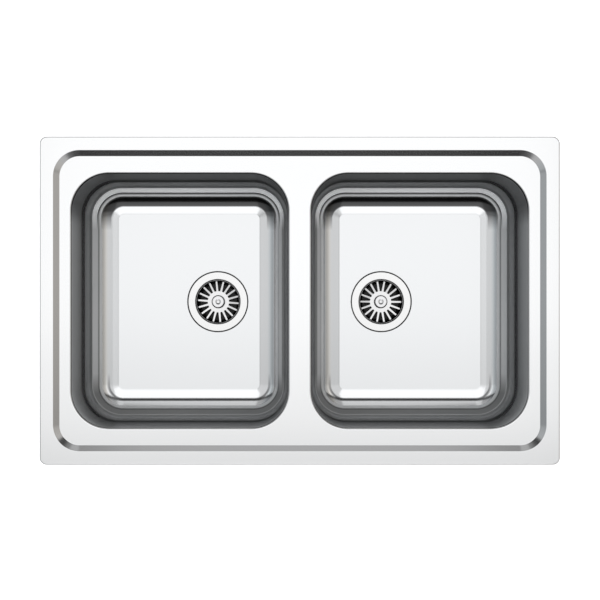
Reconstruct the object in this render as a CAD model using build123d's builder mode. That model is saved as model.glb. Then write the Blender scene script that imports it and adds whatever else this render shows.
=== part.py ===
from build123d import *

# Double bowl inset kitchen sink in stainless steel sheet, with two basket strainer wastes and eight
# worktop clamps.  Millimetres, +Z up.  The origin is the centre of the worktop cut-out, level with
# the worktop's top face; +X runs along the sink's length and +Y to its back.
#
# How it goes together: a pressed deck panel carries two deep bowls, butt welded under its turned
# down collars.  A foam seal runs under the rim.  Welded studs carry the clamp arms and wing nuts
# that pull the rim down.  Each bowl's drain hole is squeezed between a steel strainer cup above and
# a plastic waste body below, by one centre screw, with a gasket on each side of the sheet.  The
# basket lifts out of the cup, and the rubber stopper under it closes the drain.

import os
from math import cos, radians, sin, tan

# ---- deck panel ----
SHEET = 1.0  # steel sheet of the deck and the bowls
SINK_LENGTH = 790.0
SINK_WIDTH = 500.0
OUTER_CORNER_R = 11.0
RIM_TOP = 6.0  # the rim's top face above the worktop
RIM_EDGE_R = 2.0  # rounding of the rim's outer edge
RIM_FOOT = 0.5  # the turned down outer edge stops this far above the worktop
RIM_BAND = 19.8  # flat rim between the outer edge and the step
STEP_RUN = 9.6  # width of the sloping step from the rim down to the deck
STEP_CORNER_R = 36.0  # plan corner radius at the step's top
STEP_BEND_R = 1.6  # bend radius at the step's top and bottom
DECK_TOP = 1.0

# ---- bowls ----
BOWL_X = 182.5  # bowl centres, left and right of the sink's centre
OPENING_LENGTH = 335.0  # along X, where the collar starts to turn down
OPENING_WIDTH = 392.5
OPENING_CORNER_R = 60.0
COLLAR_R = 3.0  # bend from the deck into the bowl
SEAM_Z = -8.0  # the weld between collar and bowl
BOWL_DEPTH = 165.0  # deck to bowl floor
WALL_DRAFT = 1.0  # degrees
FLOOR_CORNER_R = 46.5  # wall to floor
FLOOR_Z = DECK_TOP - BOWL_DEPTH

# ---- drain ----
DRAIN_X = 135.3
DRAIN_HOLE_R = 44.0
RECESS_R = 50.2
RECESS_DEPTH = 2.5

# ---- strainer cup and waste, heights above the bowl floor ----
FLANGE_R = 48.8
FLANGE_TOP = -0.3
THROAT_R = 37.0  # inside of the cup's wall at its top
CUP_SHEET = 1.0
CUP_SEAT_R = 34.8  # inside of the cup's wall at its bottom
CUP_FLOOR = -28.0  # top face of the cup's bottom plate
CUP_BEND_R = 3.0
WINDOW_INNER_R = 12.5
WINDOW_OUTER_R = 25.5
WINDOW_COUNT = 8
WINDOW_WEB = 4.0
FLANGE_GASKET_INNER_R = 44.6
FLANGE_GASKET_OUTER_R = 48.4
BODY_GASKET_THICKNESS = 2.0
BODY_GASKET_INNER_R = 40.5
BODY_GASKET_OUTER_R = 47.5
BODY_FLANGE_R = 48.5
BODY_FLANGE_THICKNESS = 4.0
BODY_R = 42.5
BODY_WALL = 3.0
BODY_CYLINDER_END = -34.0
BODY_CONE_END = -52.0
BODY_RIB_COUNT = 12
BODY_RIB_THICKNESS = 2.0
BODY_RIB_DROP = 14.0
OUTLET_R = 23.9  # outside of the 1 1/2 inch pipe thread
OUTLET_BORE_R = 19.8
OUTLET_END = -77.0
COLLAR_RING_R = 26.5  # stop ring above the outlet's thread
COLLAR_RING_HEIGHT = 3.0
BOSS_R = 8.0
BOSS_END = -46.0
WEB_THICKNESS = 3.0
WEB_COUNT = 4
WEB_DROP = 1.0  # the webs start this far under the boss's top
INSERT_R = 4.5
INSERT_TOP = -31.0
INSERT_END = -44.0
SCREW_R = 3.0
SCREW_THREAD_FIT = 0.05  # radial room of the screw in the insert
SCREW_HOLE_FIT = 0.4
SCREW_HEAD_R = 6.0
SCREW_HEAD_HEIGHT = 3.4
SCREW_HEAD_EDGE_R = 1.0
SCREW_END = -43.0
SOCKET_WIDTH = 5.0
SOCKET_DEPTH = 2.0

# ---- basket, heights above the bowl floor ----
BASKET_SHEET = 0.9
BASKET_RIM_R = 36.2
BASKET_RIM_TOP = -2.6
BASKET_RIM_HEIGHT = 1.8
BASKET_RIM_WIDTH = 1.7
BASKET_RIM_EDGE_R = 0.6
BASKET_WALL_TOP_R = 34.8  # inside of the basket's wall
BASKET_WALL_FOOT_R = 34.4
BASKET_BEND_R = 2.0  # between its floor and its wall
HUB_R = 18.0
HUB_TOP = -15.0
HUB_BEND_R = 12.0
RIB_RISE = 1.8  # the ribs climb this much from the hub to the wall
SLOT_INNER_R = 17.6
SLOT_OUTER_R = 33.8
SLOT_OVERRUN = 1.0  # the cut leaves the ribs standing this far past both radii
RIB_COUNT = 18
RIB_INNER_WIDTH = 3.7
RIB_OUTER_WIDTH = 2.3
RIB_ANGLES = {"left": 75.5, "right": 79.5}  # where a rib stands, in degrees from +X
KNOB_R = 10.9
KNOB_TOP = -6.0
KNOB_THICKNESS = 3.6
KNOB_NECK_R = 5.0
KNOB_FLARE = 1.2  # the knob's underside rises this much from its neck to its edge
KNOB_EDGE_R = 0.9
DIMPLE_R = 4.4
DIMPLE_DEPTH = 1.9
PIN_R = 2.0  # the knob's screw
PIN_HEAD_R = 2.9
PIN_HEAD_TOP = -6.5
PIN_END = -22.0
PIN_FIT = 0.05
PIN_SOCKET_WIDTH = 2.0
PIN_SOCKET_DEPTH = 0.9
STEM_R = 9.5
STEM_BORE_END = -23.0
STEM_TIP_R = 8.0
STEM_SOCKET_R = 6.6  # sits over the centre screw's head
STEM_SOCKET_TOP = -24.2
STOPPER_R = 31.0
STOPPER_THICKNESS = 3.0
STOPPER_GAP = 0.3  # the closed stopper stands this far off the cup's bottom plate
STOPPER_EDGE_R = 0.8
CLIP_R = 9.6
CLIP_GROOVE_R = 7.6
CLIP_TOP = -26.5
CLIP_BOTTOM = -27.4
CLIP_ROOM = 0.2

# ---- rim seal, sound pads and earth tag ----
CUTOUT_LENGTH = 770.0
CUTOUT_WIDTH = 480.0
CUTOUT_CORNER_R = 6.0
SEAL_WIDTH = 8.0
PAD_LENGTH = 96.0
PAD_WIDTH = 240.0
PAD_THICKNESS = 2.5
PAD_X = 242.0
PAD_CORNER_R = 12.0
TAG_X = 110.0
TAG_Y = 206.0
TAG_WIDTH = 14.0
TAG_FOOT = 12.0
TAG_DROP = 20.0
TAG_BEND_R = 1.5
TAG_HOLE_R = 2.2
TAG_HOLE_DROP = 13.0

# ---- worktop clamps, heights above the worktop ----
STUD_R = 2.5
STUD_END = -68.0
STUD_BASE_R = 5.0
STUD_BASE_HEIGHT = 1.2
STUD_SIDE_X = 360.0
STUD_FRONT_Y = 211.0
STUD_ROW_X = 250.0
ARM_THICKNESS = 2.0
ARM_WIDTH = 12.0
ARM_REACH = 33.0
ARM_KNEE = 14.0  # the arm starts to rise here
ARM_HEEL = 8.0
ARM_HEEL_HEIGHT = 12.0
ARM_TOP = -42.0  # top of the arm round its stud
ARM_GRIP = -38.0  # top of its tip, under a 38 mm worktop
ARM_BEND_R = 1.5
ARM_HOLE_R = 2.8
NUT_R = 4.8
NUT_FOOT_R = 6.2
NUT_FOOT_HEIGHT = 1.5
NUT_HEIGHT = 9.0
NUT_FIT = 0.06  # radial room of a stud's thread
EAR_REACH = 10.8
EAR_R = 2.8
EAR_DROP = 10.0
EAR_ROOT_R = 2.6
EAR_ROOT_DROP = 5.0
EAR_THICKNESS = 2.0

CLAMPS = {  # name: (stud x, stud y, where the arm points, in degrees from +X)
    "front_left": (-STUD_ROW_X, -STUD_FRONT_Y, -90.0),
    "front_middle": (0.0, -STUD_FRONT_Y, -90.0),
    "front_right": (STUD_ROW_X, -STUD_FRONT_Y, -90.0),
    "back_left": (-STUD_ROW_X, STUD_FRONT_Y, 90.0),
    "back_middle": (0.0, STUD_FRONT_Y, 90.0),
    "back_right": (STUD_ROW_X, STUD_FRONT_Y, 90.0),
    "left_side": (-STUD_SIDE_X, 0.0, 180.0),
    "right_side": (STUD_SIDE_X, 0.0, 0.0),
}
SIDES = {"left": -1, "right": 1}

# ---- worked out from the sizes above ----
DRAFT_SLOPE = tan(radians(WALL_DRAFT))
WALL_OFFSET = SHEET / cos(radians(WALL_DRAFT))  # the sheet's thickness measured level
COLLAR_INSET = COLLAR_R * tan(radians((90.0 - WALL_DRAFT) / 2))  # plan room of the collar's bend
STEP_INSET = RIM_BAND + STEP_RUN
STEP_HEIGHT = RIM_TOP - DECK_TOP
STEP_LENGTH = (STEP_HEIGHT**2 + STEP_RUN**2) ** 0.5
# Keeping the sheet's thickness on the slope moves the underside's two bends out by this much.
STEP_BEND_SHIFT = SHEET * STEP_HEIGHT / (STEP_LENGTH + STEP_RUN)
RECESS_UNDERSIDE = -RECESS_DEPTH - SHEET
BODY_TOP = RECESS_UNDERSIDE - BODY_GASKET_THICKNESS
BODY_SHOULDER = BODY_TOP - BODY_FLANGE_THICKNESS
BODY_INNER_R = BODY_R - BODY_WALL
CUP_UNDERSIDE = CUP_FLOOR - CUP_SHEET
HUB_UNDERSIDE = HUB_TOP - BASKET_SHEET
STOPPER_BOTTOM = CUP_FLOOR + STOPPER_GAP
STOPPER_TOP = STOPPER_BOTTOM + STOPPER_THICKNESS


def write_piece(built, node):
    """Labels one finished piece and writes its STEP file."""
    built.part.label = node
    export_step(built.part, f"parts/{node}.step")


# ---- deck panel and bowls ----
def outline(inset, level, corner):
    """The sink's outline drawn in by inset, at one level."""
    with BuildSketch(Plane.XY.offset(level)) as contour:
        RectangleRounded(SINK_LENGTH - 2 * inset, SINK_WIDTH - 2 * inset, corner)
    return contour.sketch


def wall_outline(side, level, outwards):
    """A bowl wall's level section: its inside face, or that moved outwards."""
    inset = COLLAR_INSET + (DECK_TOP - level) * DRAFT_SLOPE - outwards
    with BuildSketch(Plane.XY.offset(level)) as contour:
        with Locations((side * BOWL_X, 0)):
            RectangleRounded(
                OPENING_LENGTH - 2 * inset,
                OPENING_WIDTH - 2 * inset,
                OPENING_CORNER_R - inset,
            )
    return contour.sketch


def step_block(below, shift):
    """The room over the sunk deck, up to the rim's level, with the step as its sloping side."""
    with BuildPart() as block:
        add(outline(STEP_INSET - shift, DECK_TOP - below, STEP_CORNER_R - STEP_RUN + shift))
        add(outline(RIM_BAND - shift, RIM_TOP - below, STEP_CORNER_R + shift))
        loft(ruled=True)
    return block.part


def panel_form(below):
    """Everything under the panel's top face, or under its lower face when below is the sheet."""
    shift = STEP_BEND_SHIFT * below / SHEET
    with BuildPart() as form:
        add(outline(below, SEAM_Z, OUTER_CORNER_R - below))
        extrude(amount=RIM_TOP - below - SEAM_Z)
        fillet(form.edges().group_by(Axis.Z)[-1], radius=RIM_EDGE_R - below)
        add(step_block(below, shift), mode=Mode.SUBTRACT)
        step_edges = form.edges(Select.LAST).group_by(Axis.Z)
        fillet(step_edges[0] + step_edges[-1], radius=STEP_BEND_R - below / 2)
        for side in SIDES.values():
            add(wall_outline(side, DECK_TOP - below, below * WALL_OFFSET))
            extrude(amount=SEAM_Z - DECK_TOP + below, taper=WALL_DRAFT, mode=Mode.SUBTRACT)
            mouth = form.edges(Select.LAST).group_by(Axis.Z)[-1]
            fillet(mouth, radius=COLLAR_R - below)
    return form.part


def deck_panel():
    """The pressed panel: rim, sloping step, sunk deck and the two turned down collars."""
    with BuildPart() as panel:
        add(panel_form(0.0))
        add(panel_form(SHEET), mode=Mode.SUBTRACT)
        with BuildSketch(Plane.XY.offset(SEAM_Z)):
            RectangleRounded(SINK_LENGTH + SHEET, SINK_WIDTH + SHEET, OUTER_CORNER_R)
            RectangleRounded(
                SINK_LENGTH - 3 * SHEET,
                SINK_WIDTH - 3 * SHEET,
                OUTER_CORNER_R - SHEET,
                mode=Mode.SUBTRACT,
            )
        extrude(amount=RIM_FOOT - SEAM_Z, mode=Mode.SUBTRACT)
    return panel


def bowl_form(side, outwards, floor, corner):
    """A bowl as a filled form: drafted walls and a rounded floor edge."""
    with BuildPart() as form:
        add(wall_outline(side, SEAM_Z, outwards))
        extrude(amount=floor - SEAM_Z, taper=WALL_DRAFT)
        fillet(form.edges().group_by(Axis.Z)[0], radius=corner)
    return form.part


def bowl(side):
    """One bowl, from the weld to its floor, with the sunk seat and hole of its drain."""
    with BuildPart() as drawn:
        add(bowl_form(side, WALL_OFFSET, FLOOR_Z - SHEET, FLOOR_CORNER_R + SHEET))
        with BuildSketch(Plane.XY.offset(FLOOR_Z + RECESS_UNDERSIDE)):
            with Locations((side * DRAIN_X, 0)):
                Circle(RECESS_R + SHEET)
        extrude(amount=-RECESS_UNDERSIDE - SHEET / 2)
        add(bowl_form(side, 0.0, FLOOR_Z, FLOOR_CORNER_R), mode=Mode.SUBTRACT)
        with BuildSketch(Plane.XY.offset(FLOOR_Z - RECESS_DEPTH)):
            with Locations((side * DRAIN_X, 0)):
                Circle(RECESS_R)
        extrude(amount=RECESS_DEPTH + SHEET, mode=Mode.SUBTRACT)
        with BuildSketch(Plane.XY.offset(FLOOR_Z + RECESS_UNDERSIDE)):
            with Locations((side * DRAIN_X, 0)):
                Circle(DRAIN_HOLE_R)
        extrude(amount=-RECESS_UNDERSIDE, mode=Mode.SUBTRACT)
    return drawn


# ---- drain fittings ----
def drain_section(side):
    """The upright plane through a drain's axis: X is the radius, Y the height above the floor."""
    return Plane(origin=(side * DRAIN_X, 0, FLOOR_Z), x_dir=(1, 0, 0), z_dir=(0, -1, 0))


def drain_axis(side):
    """The drain's upright axis."""
    return Axis((side * DRAIN_X, 0, FLOOR_Z), (0, 0, 1))


def ring(side, inner, outer, low, high):
    """A plain ring round a drain, by its radii and its heights above the bowl floor."""
    with BuildPart() as band:
        with BuildSketch(Plane.XY.offset(FLOOR_Z + low)):
            with Locations((side * DRAIN_X, 0)):
                Circle(outer)
                Circle(inner, mode=Mode.SUBTRACT)
        extrude(amount=high - low)
    return band


def cap_screw(side, radius, end, head_radius, seat, head_top, socket_width, socket_depth):
    """A round headed screw with a hexagon socket, on a drain's axis."""
    with BuildPart() as screw:
        with BuildSketch(Plane.XY.offset(FLOOR_Z + end)):
            with Locations((side * DRAIN_X, 0)):
                Circle(radius)
        extrude(amount=seat - end)
        with BuildSketch(Plane.XY.offset(FLOOR_Z + seat)):
            with Locations((side * DRAIN_X, 0)):
                Circle(head_radius)
        extrude(amount=head_top - seat)
        fillet(screw.edges().group_by(Axis.Z)[-1], radius=head_radius * SCREW_HEAD_EDGE_R / SCREW_HEAD_R)
        with BuildSketch(Plane.XY.offset(FLOOR_Z + head_top)):
            with Locations((side * DRAIN_X, 0)):
                RegularPolygon(socket_width / 2, 6, major_radius=False)
        extrude(amount=-socket_depth, mode=Mode.SUBTRACT)
    return screw


def strainer_cup(side):
    """The steel cup whose flange shows in the bowl; its bottom plate has windows round a hole."""
    with BuildPart() as cup:
        with BuildSketch(drain_section(side)):
            with BuildLine():
                inside = FilletPolyline(
                    (0, CUP_FLOOR),
                    (CUP_SEAT_R, CUP_FLOOR),
                    (THROAT_R, FLANGE_TOP),
                    (FLANGE_R, FLANGE_TOP),
                    radius=CUP_BEND_R,
                )
                outside = FilletPolyline(
                    (0, CUP_UNDERSIDE),
                    (CUP_SEAT_R + CUP_SHEET, CUP_UNDERSIDE),
                    (THROAT_R + CUP_SHEET, FLANGE_TOP - CUP_SHEET),
                    (FLANGE_R, FLANGE_TOP - CUP_SHEET),
                    radius=[CUP_BEND_R + CUP_SHEET, CUP_BEND_R - CUP_SHEET],
                )
                Line(inside @ 0, outside @ 0)
                Line(inside @ 1, outside @ 1)
            make_face()
        revolve(axis=drain_axis(side))
        with BuildSketch(Plane.XY.offset(FLOOR_Z + CUP_UNDERSIDE)):
            with Locations((side * DRAIN_X, 0)):
                Circle(WINDOW_OUTER_R)
                Circle(WINDOW_INNER_R, mode=Mode.SUBTRACT)
                with PolarLocations(0, WINDOW_COUNT // 2, angular_range=180):
                    Rectangle(3 * WINDOW_OUTER_R, WINDOW_WEB, mode=Mode.SUBTRACT)
                Circle(SCREW_R + SCREW_HOLE_FIT)
        extrude(amount=CUP_SHEET, mode=Mode.SUBTRACT)
    return cup


def body_rib():
    """One stiffening rib of a waste body, between its flange and its side, at the origin."""
    root = BODY_R - BODY_WALL / 2
    with BuildPart() as rib:
        with BuildSketch(Plane.XZ.offset(-BODY_RIB_THICKNESS / 2)):
            Polygon(
                (root, FLOOR_Z + BODY_SHOULDER),
                (BODY_FLANGE_R - BODY_RIB_THICKNESS / 2, FLOOR_Z + BODY_SHOULDER),
                (root, FLOOR_Z + BODY_SHOULDER - BODY_RIB_DROP),
            )
        extrude(amount=BODY_RIB_THICKNESS)
    return rib.part


def waste_body(side):
    """The plastic body: ribbed flange, funnel, threaded outlet and a webbed boss for the insert."""
    half_wall = BODY_WALL / 2
    stop_ring_low = BODY_CONE_END - COLLAR_RING_HEIGHT
    rib = body_rib()
    with BuildPart() as body:
        with BuildSketch(drain_section(side)):
            with BuildLine():
                Polyline(
                    (BODY_INNER_R, BODY_TOP),
                    (BODY_FLANGE_R, BODY_TOP),
                    (BODY_FLANGE_R, BODY_SHOULDER),
                    (BODY_R, BODY_SHOULDER),
                    (BODY_R, BODY_CYLINDER_END),
                    (COLLAR_RING_R, BODY_CONE_END),
                    (COLLAR_RING_R, stop_ring_low),
                    (OUTLET_R, stop_ring_low),
                    (OUTLET_R, OUTLET_END),
                    (OUTLET_BORE_R, OUTLET_END),
                    (OUTLET_BORE_R, BODY_CONE_END + half_wall),
                    (BODY_INNER_R, BODY_CYLINDER_END + half_wall),
                    close=True,
                )
            make_face()
        revolve(axis=drain_axis(side))
        with Locations((side * DRAIN_X, 0)):
            with PolarLocations(0, BODY_RIB_COUNT):
                add(rib)
        with BuildSketch(Plane.XY.offset(FLOOR_Z + BOSS_END)):
            with Locations((side * DRAIN_X, 0)):
                Circle(BOSS_R)
        extrude(amount=CUP_UNDERSIDE - BOSS_END)
        with BuildSketch(Plane.XY.offset(FLOOR_Z + BODY_CYLINDER_END)):
            with Locations((side * DRAIN_X, 0)):
                with PolarLocations(0, WEB_COUNT // 2, angular_range=180):
                    Rectangle(2 * BODY_INNER_R + BODY_WALL, WEB_THICKNESS)
        extrude(amount=CUP_UNDERSIDE - WEB_DROP - BODY_CYLINDER_END)
        with BuildSketch(Plane.XY.offset(FLOOR_Z + BOSS_END)):
            with Locations((side * DRAIN_X, 0)):
                Circle(SCREW_R + SCREW_HOLE_FIT)
        extrude(amount=CUP_UNDERSIDE - BOSS_END, mode=Mode.SUBTRACT)
        with BuildSketch(Plane.XY.offset(FLOOR_Z + INSERT_END)):
            with Locations((side * DRAIN_X, 0)):
                Circle(INSERT_R)
        extrude(amount=INSERT_TOP - INSERT_END, mode=Mode.SUBTRACT)
    return body


# ---- basket ----
def basket(side, rib_angle):
    """The slotted steel basket: a hub, tapering ribs and a rounded rim."""
    with BuildPart() as dish:
        with BuildSketch(drain_section(side)):
            with BuildLine():
                inside = FilletPolyline(
                    (PIN_R + PIN_FIT, HUB_TOP),
                    (HUB_R, HUB_TOP),
                    (BASKET_WALL_FOOT_R, HUB_TOP + RIB_RISE),
                    (BASKET_WALL_TOP_R, BASKET_RIM_TOP),
                    radius=[HUB_BEND_R, BASKET_BEND_R],
                )
                outside = FilletPolyline(
                    (PIN_R + PIN_FIT, HUB_UNDERSIDE),
                    (HUB_R, HUB_UNDERSIDE),
                    (BASKET_WALL_FOOT_R + BASKET_SHEET, HUB_UNDERSIDE + RIB_RISE),
                    (BASKET_WALL_TOP_R + BASKET_SHEET, BASKET_RIM_TOP),
                    radius=[HUB_BEND_R + BASKET_SHEET, BASKET_BEND_R + BASKET_SHEET],
                )
                Line(inside @ 0, outside @ 0)
                Line(inside @ 1, outside @ 1)
            make_face()
            with Locations((BASKET_RIM_R, BASKET_RIM_TOP)):
                Rectangle(BASKET_RIM_WIDTH, BASKET_RIM_HEIGHT, align=(Align.MAX, Align.MAX))
        revolve(axis=drain_axis(side))
        fillet(dish.edges().group_by(Axis.Z)[-1], radius=BASKET_RIM_EDGE_R)
        with BuildSketch(Plane.XY.offset(FLOOR_Z + HUB_UNDERSIDE - BASKET_SHEET)):
            with Locations((side * DRAIN_X, 0)):
                Circle(SLOT_OUTER_R)
                Circle(SLOT_INNER_R, mode=Mode.SUBTRACT)
                with PolarLocations(0, RIB_COUNT, start_angle=rib_angle):
                    Polygon(
                        (SLOT_INNER_R - SLOT_OVERRUN, -RIB_INNER_WIDTH / 2),
                        (SLOT_OUTER_R + SLOT_OVERRUN, -RIB_OUTER_WIDTH / 2),
                        (SLOT_OUTER_R + SLOT_OVERRUN, RIB_OUTER_WIDTH / 2),
                        (SLOT_INNER_R - SLOT_OVERRUN, RIB_INNER_WIDTH / 2),
                        mode=Mode.SUBTRACT,
                    )
        extrude(amount=BASKET_RIM_TOP - HUB_UNDERSIDE + BASKET_SHEET, mode=Mode.SUBTRACT)
    return dish


def basket_knob(side):
    """The mushroom knob on the basket's hub, with a dimple for the head of its screw."""
    knob_underside = KNOB_TOP - KNOB_THICKNESS
    with BuildPart() as knob:
        with BuildSketch(drain_section(side)):
            with BuildLine():
                Polyline(
                    (PIN_R + PIN_FIT, HUB_TOP),
                    (KNOB_NECK_R, HUB_TOP),
                    (KNOB_NECK_R, knob_underside),
                    (KNOB_R, knob_underside + KNOB_FLARE),
                    (KNOB_R, KNOB_TOP),
                    (DIMPLE_R, KNOB_TOP),
                    (DIMPLE_R, KNOB_TOP - DIMPLE_DEPTH),
                    (PIN_R + PIN_FIT, KNOB_TOP - DIMPLE_DEPTH),
                    close=True,
                )
            make_face()
        revolve(axis=drain_axis(side))
        fillet(knob.edges().group_by(Axis.Z)[-1], radius=KNOB_EDGE_R)
    return knob


def basket_stem(side):
    """The plastic stem under the hub: it takes the knob's screw and sits over the centre screw."""
    with BuildPart() as stem:
        with BuildSketch(drain_section(side)):
            with BuildLine():
                Polyline(
                    (PIN_R + PIN_FIT, HUB_UNDERSIDE),
                    (STEM_R, HUB_UNDERSIDE),
                    (STEM_R, STOPPER_TOP),
                    (STEM_TIP_R, STOPPER_TOP),
                    (STEM_TIP_R, CLIP_TOP),
                    (CLIP_GROOVE_R, CLIP_TOP),
                    (CLIP_GROOVE_R, CLIP_BOTTOM),
                    (STEM_TIP_R, CLIP_BOTTOM),
                    (STEM_TIP_R, STOPPER_BOTTOM),
                    (STEM_SOCKET_R, STOPPER_BOTTOM),
                    (STEM_SOCKET_R, STEM_SOCKET_TOP),
                    (0, STEM_SOCKET_TOP),
                    (0, STEM_BORE_END),
                    (PIN_R + PIN_FIT, STEM_BORE_END),
                    close=True,
                )
            make_face()
        revolve(axis=drain_axis(side))
    return stem


def basket_stopper(side):
    """The rubber disc that closes the cup's windows, with a room underneath for its clip."""
    with BuildPart() as stopper:
        with BuildSketch(Plane.XY.offset(FLOOR_Z + STOPPER_BOTTOM)):
            with Locations((side * DRAIN_X, 0)):
                Circle(STOPPER_R)
        extrude(amount=STOPPER_THICKNESS)
        fillet(stopper.edges().filter_by(GeomType.CIRCLE), radius=STOPPER_EDGE_R)
        with BuildSketch(Plane.XY.offset(FLOOR_Z + STOPPER_BOTTOM)):
            with Locations((side * DRAIN_X, 0)):
                Circle(STEM_TIP_R)
        extrude(amount=STOPPER_THICKNESS, mode=Mode.SUBTRACT)
        with BuildSketch(Plane.XY.offset(FLOOR_Z + STOPPER_BOTTOM)):
            with Locations((side * DRAIN_X, 0)):
                Circle(CLIP_R + CLIP_ROOM)
        extrude(amount=CLIP_TOP - STOPPER_BOTTOM, mode=Mode.SUBTRACT)
    return stopper


# ---- seal, pads and tag ----
def rim_seal():
    """The foam seal between the rim's underside and the worktop, round the cut-out."""
    with BuildPart() as seal:
        with BuildSketch(Plane.XY):
            RectangleRounded(
                CUTOUT_LENGTH + 2 * SEAL_WIDTH,
                CUTOUT_WIDTH + 2 * SEAL_WIDTH,
                CUTOUT_CORNER_R + SEAL_WIDTH / 2,
            )
            RectangleRounded(CUTOUT_LENGTH, CUTOUT_WIDTH, CUTOUT_CORNER_R, mode=Mode.SUBTRACT)
        extrude(amount=RIM_TOP - SHEET)
    return seal


def sound_pad(side):
    """A sound deadening pad under a bowl's floor, on the side away from the drain."""
    with BuildPart() as pad:
        with BuildSketch(Plane.XY.offset(FLOOR_Z - SHEET)):
            with Locations((side * PAD_X, 0)):
                RectangleRounded(PAD_LENGTH, PAD_WIDTH, PAD_CORNER_R)
        extrude(amount=-PAD_THICKNESS)
    return pad


def earth_tag():
    """The bonding tag: a bent strip welded under the deck, with a hole for the earth wire."""
    underside = DECK_TOP - SHEET
    with BuildPart() as tag:
        with BuildSketch(Plane.YZ.offset(TAG_X - TAG_WIDTH / 2)):
            with BuildLine():
                FilletPolyline(
                    (TAG_Y - TAG_FOOT / 2, underside),
                    (TAG_Y + TAG_FOOT / 2, underside),
                    (TAG_Y + TAG_FOOT / 2, underside - TAG_DROP),
                    radius=TAG_BEND_R,
                )
                offset(amount=SHEET, side=Side.RIGHT)
            make_face()
        extrude(amount=TAG_WIDTH)
        with BuildSketch(Plane.XZ.offset(-TAG_Y)):
            with Locations((TAG_X, underside - TAG_HOLE_DROP)):
                Circle(TAG_HOLE_R)
        extrude(amount=-TAG_FOOT, mode=Mode.SUBTRACT)
    return tag


# ---- worktop clamps ----
def clamp_level(clamp, height):
    """The level plane at a clamp's stud, at a height, with X along the clamp's arm."""
    x, y, heading = clamp
    along = (cos(radians(heading)), sin(radians(heading)), 0)
    return Plane(origin=(x, y, height), x_dir=along, z_dir=(0, 0, 1))


def clamp_section(clamp):
    """The upright plane through a clamp's stud: X is along the arm, Y the height."""
    x, y, heading = clamp
    along = (cos(radians(heading)), sin(radians(heading)), 0)
    across = (sin(radians(heading)), -cos(radians(heading)), 0)
    return Plane(origin=(x, y, 0), x_dir=along, z_dir=across)


def clamp_studs():
    """The eight studs, each with the foot that welds it to the deck's underside."""
    underside = DECK_TOP - SHEET
    with BuildPart() as studs:
        for clamp in CLAMPS.values():
            with BuildSketch(clamp_level(clamp, underside)):
                Circle(STUD_BASE_R)
            extrude(amount=-STUD_BASE_HEIGHT)
            with BuildSketch(clamp_level(clamp, underside)):
                Circle(STUD_R)
            extrude(amount=STUD_END - underside)
    return studs


def clamp_arm(clamp):
    """A bent strip with a heel at one end and a rising tip that bears on the worktop's underside."""
    with BuildPart() as arm:
        with BuildSketch(clamp_section(clamp)):
            with BuildLine():
                FilletPolyline(
                    (-ARM_HEEL + ARM_THICKNESS, ARM_TOP + ARM_HEEL_HEIGHT),
                    (-ARM_HEEL + ARM_THICKNESS, ARM_TOP),
                    (ARM_KNEE, ARM_TOP),
                    (ARM_REACH, ARM_GRIP),
                    radius=ARM_BEND_R,
                )
                offset(amount=ARM_THICKNESS, side=Side.RIGHT)
            make_face()
        extrude(amount=ARM_WIDTH / 2, both=True)
        with BuildSketch(clamp_level(clamp, ARM_TOP - ARM_THICKNESS)):
            Circle(ARM_HOLE_R)
        extrude(amount=ARM_THICKNESS, mode=Mode.SUBTRACT)
    return arm


def wing_nut(clamp):
    """A wing nut under the arm: a foot, a round middle and two ears that hang down."""
    top = ARM_TOP - ARM_THICKNESS
    with BuildPart() as nut:
        with BuildSketch(clamp_level(clamp, top)):
            Circle(NUT_FOOT_R)
        extrude(amount=-NUT_FOOT_HEIGHT)
        with BuildSketch(clamp_level(clamp, top)):
            Circle(NUT_R)
        extrude(amount=-NUT_HEIGHT)
        for way in (-1, 1):
            with BuildSketch(clamp_section(clamp)):
                with Locations((way * (EAR_REACH - EAR_R), top - EAR_DROP)):
                    Circle(EAR_R)
                with Locations((way * EAR_ROOT_R, top - EAR_ROOT_DROP)):
                    Circle(EAR_ROOT_R)
                make_hull()
            extrude(amount=EAR_THICKNESS / 2, both=True)
        with BuildSketch(clamp_level(clamp, top)):
            Circle(STUD_R + NUT_FIT)
        extrude(amount=-NUT_HEIGHT - EAR_DROP, mode=Mode.SUBTRACT)
    return nut


os.makedirs("parts", exist_ok=True)

write_piece(deck_panel(), "deck_panel")
write_piece(rim_seal(), "rim_seal")
write_piece(earth_tag(), "earth_tag")
write_piece(clamp_studs(), "clamp_studs")

for name, clamp in CLAMPS.items():
    write_piece(clamp_arm(clamp), f"{name}_clamp_arm")
    write_piece(wing_nut(clamp), f"{name}_wing_nut")

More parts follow.
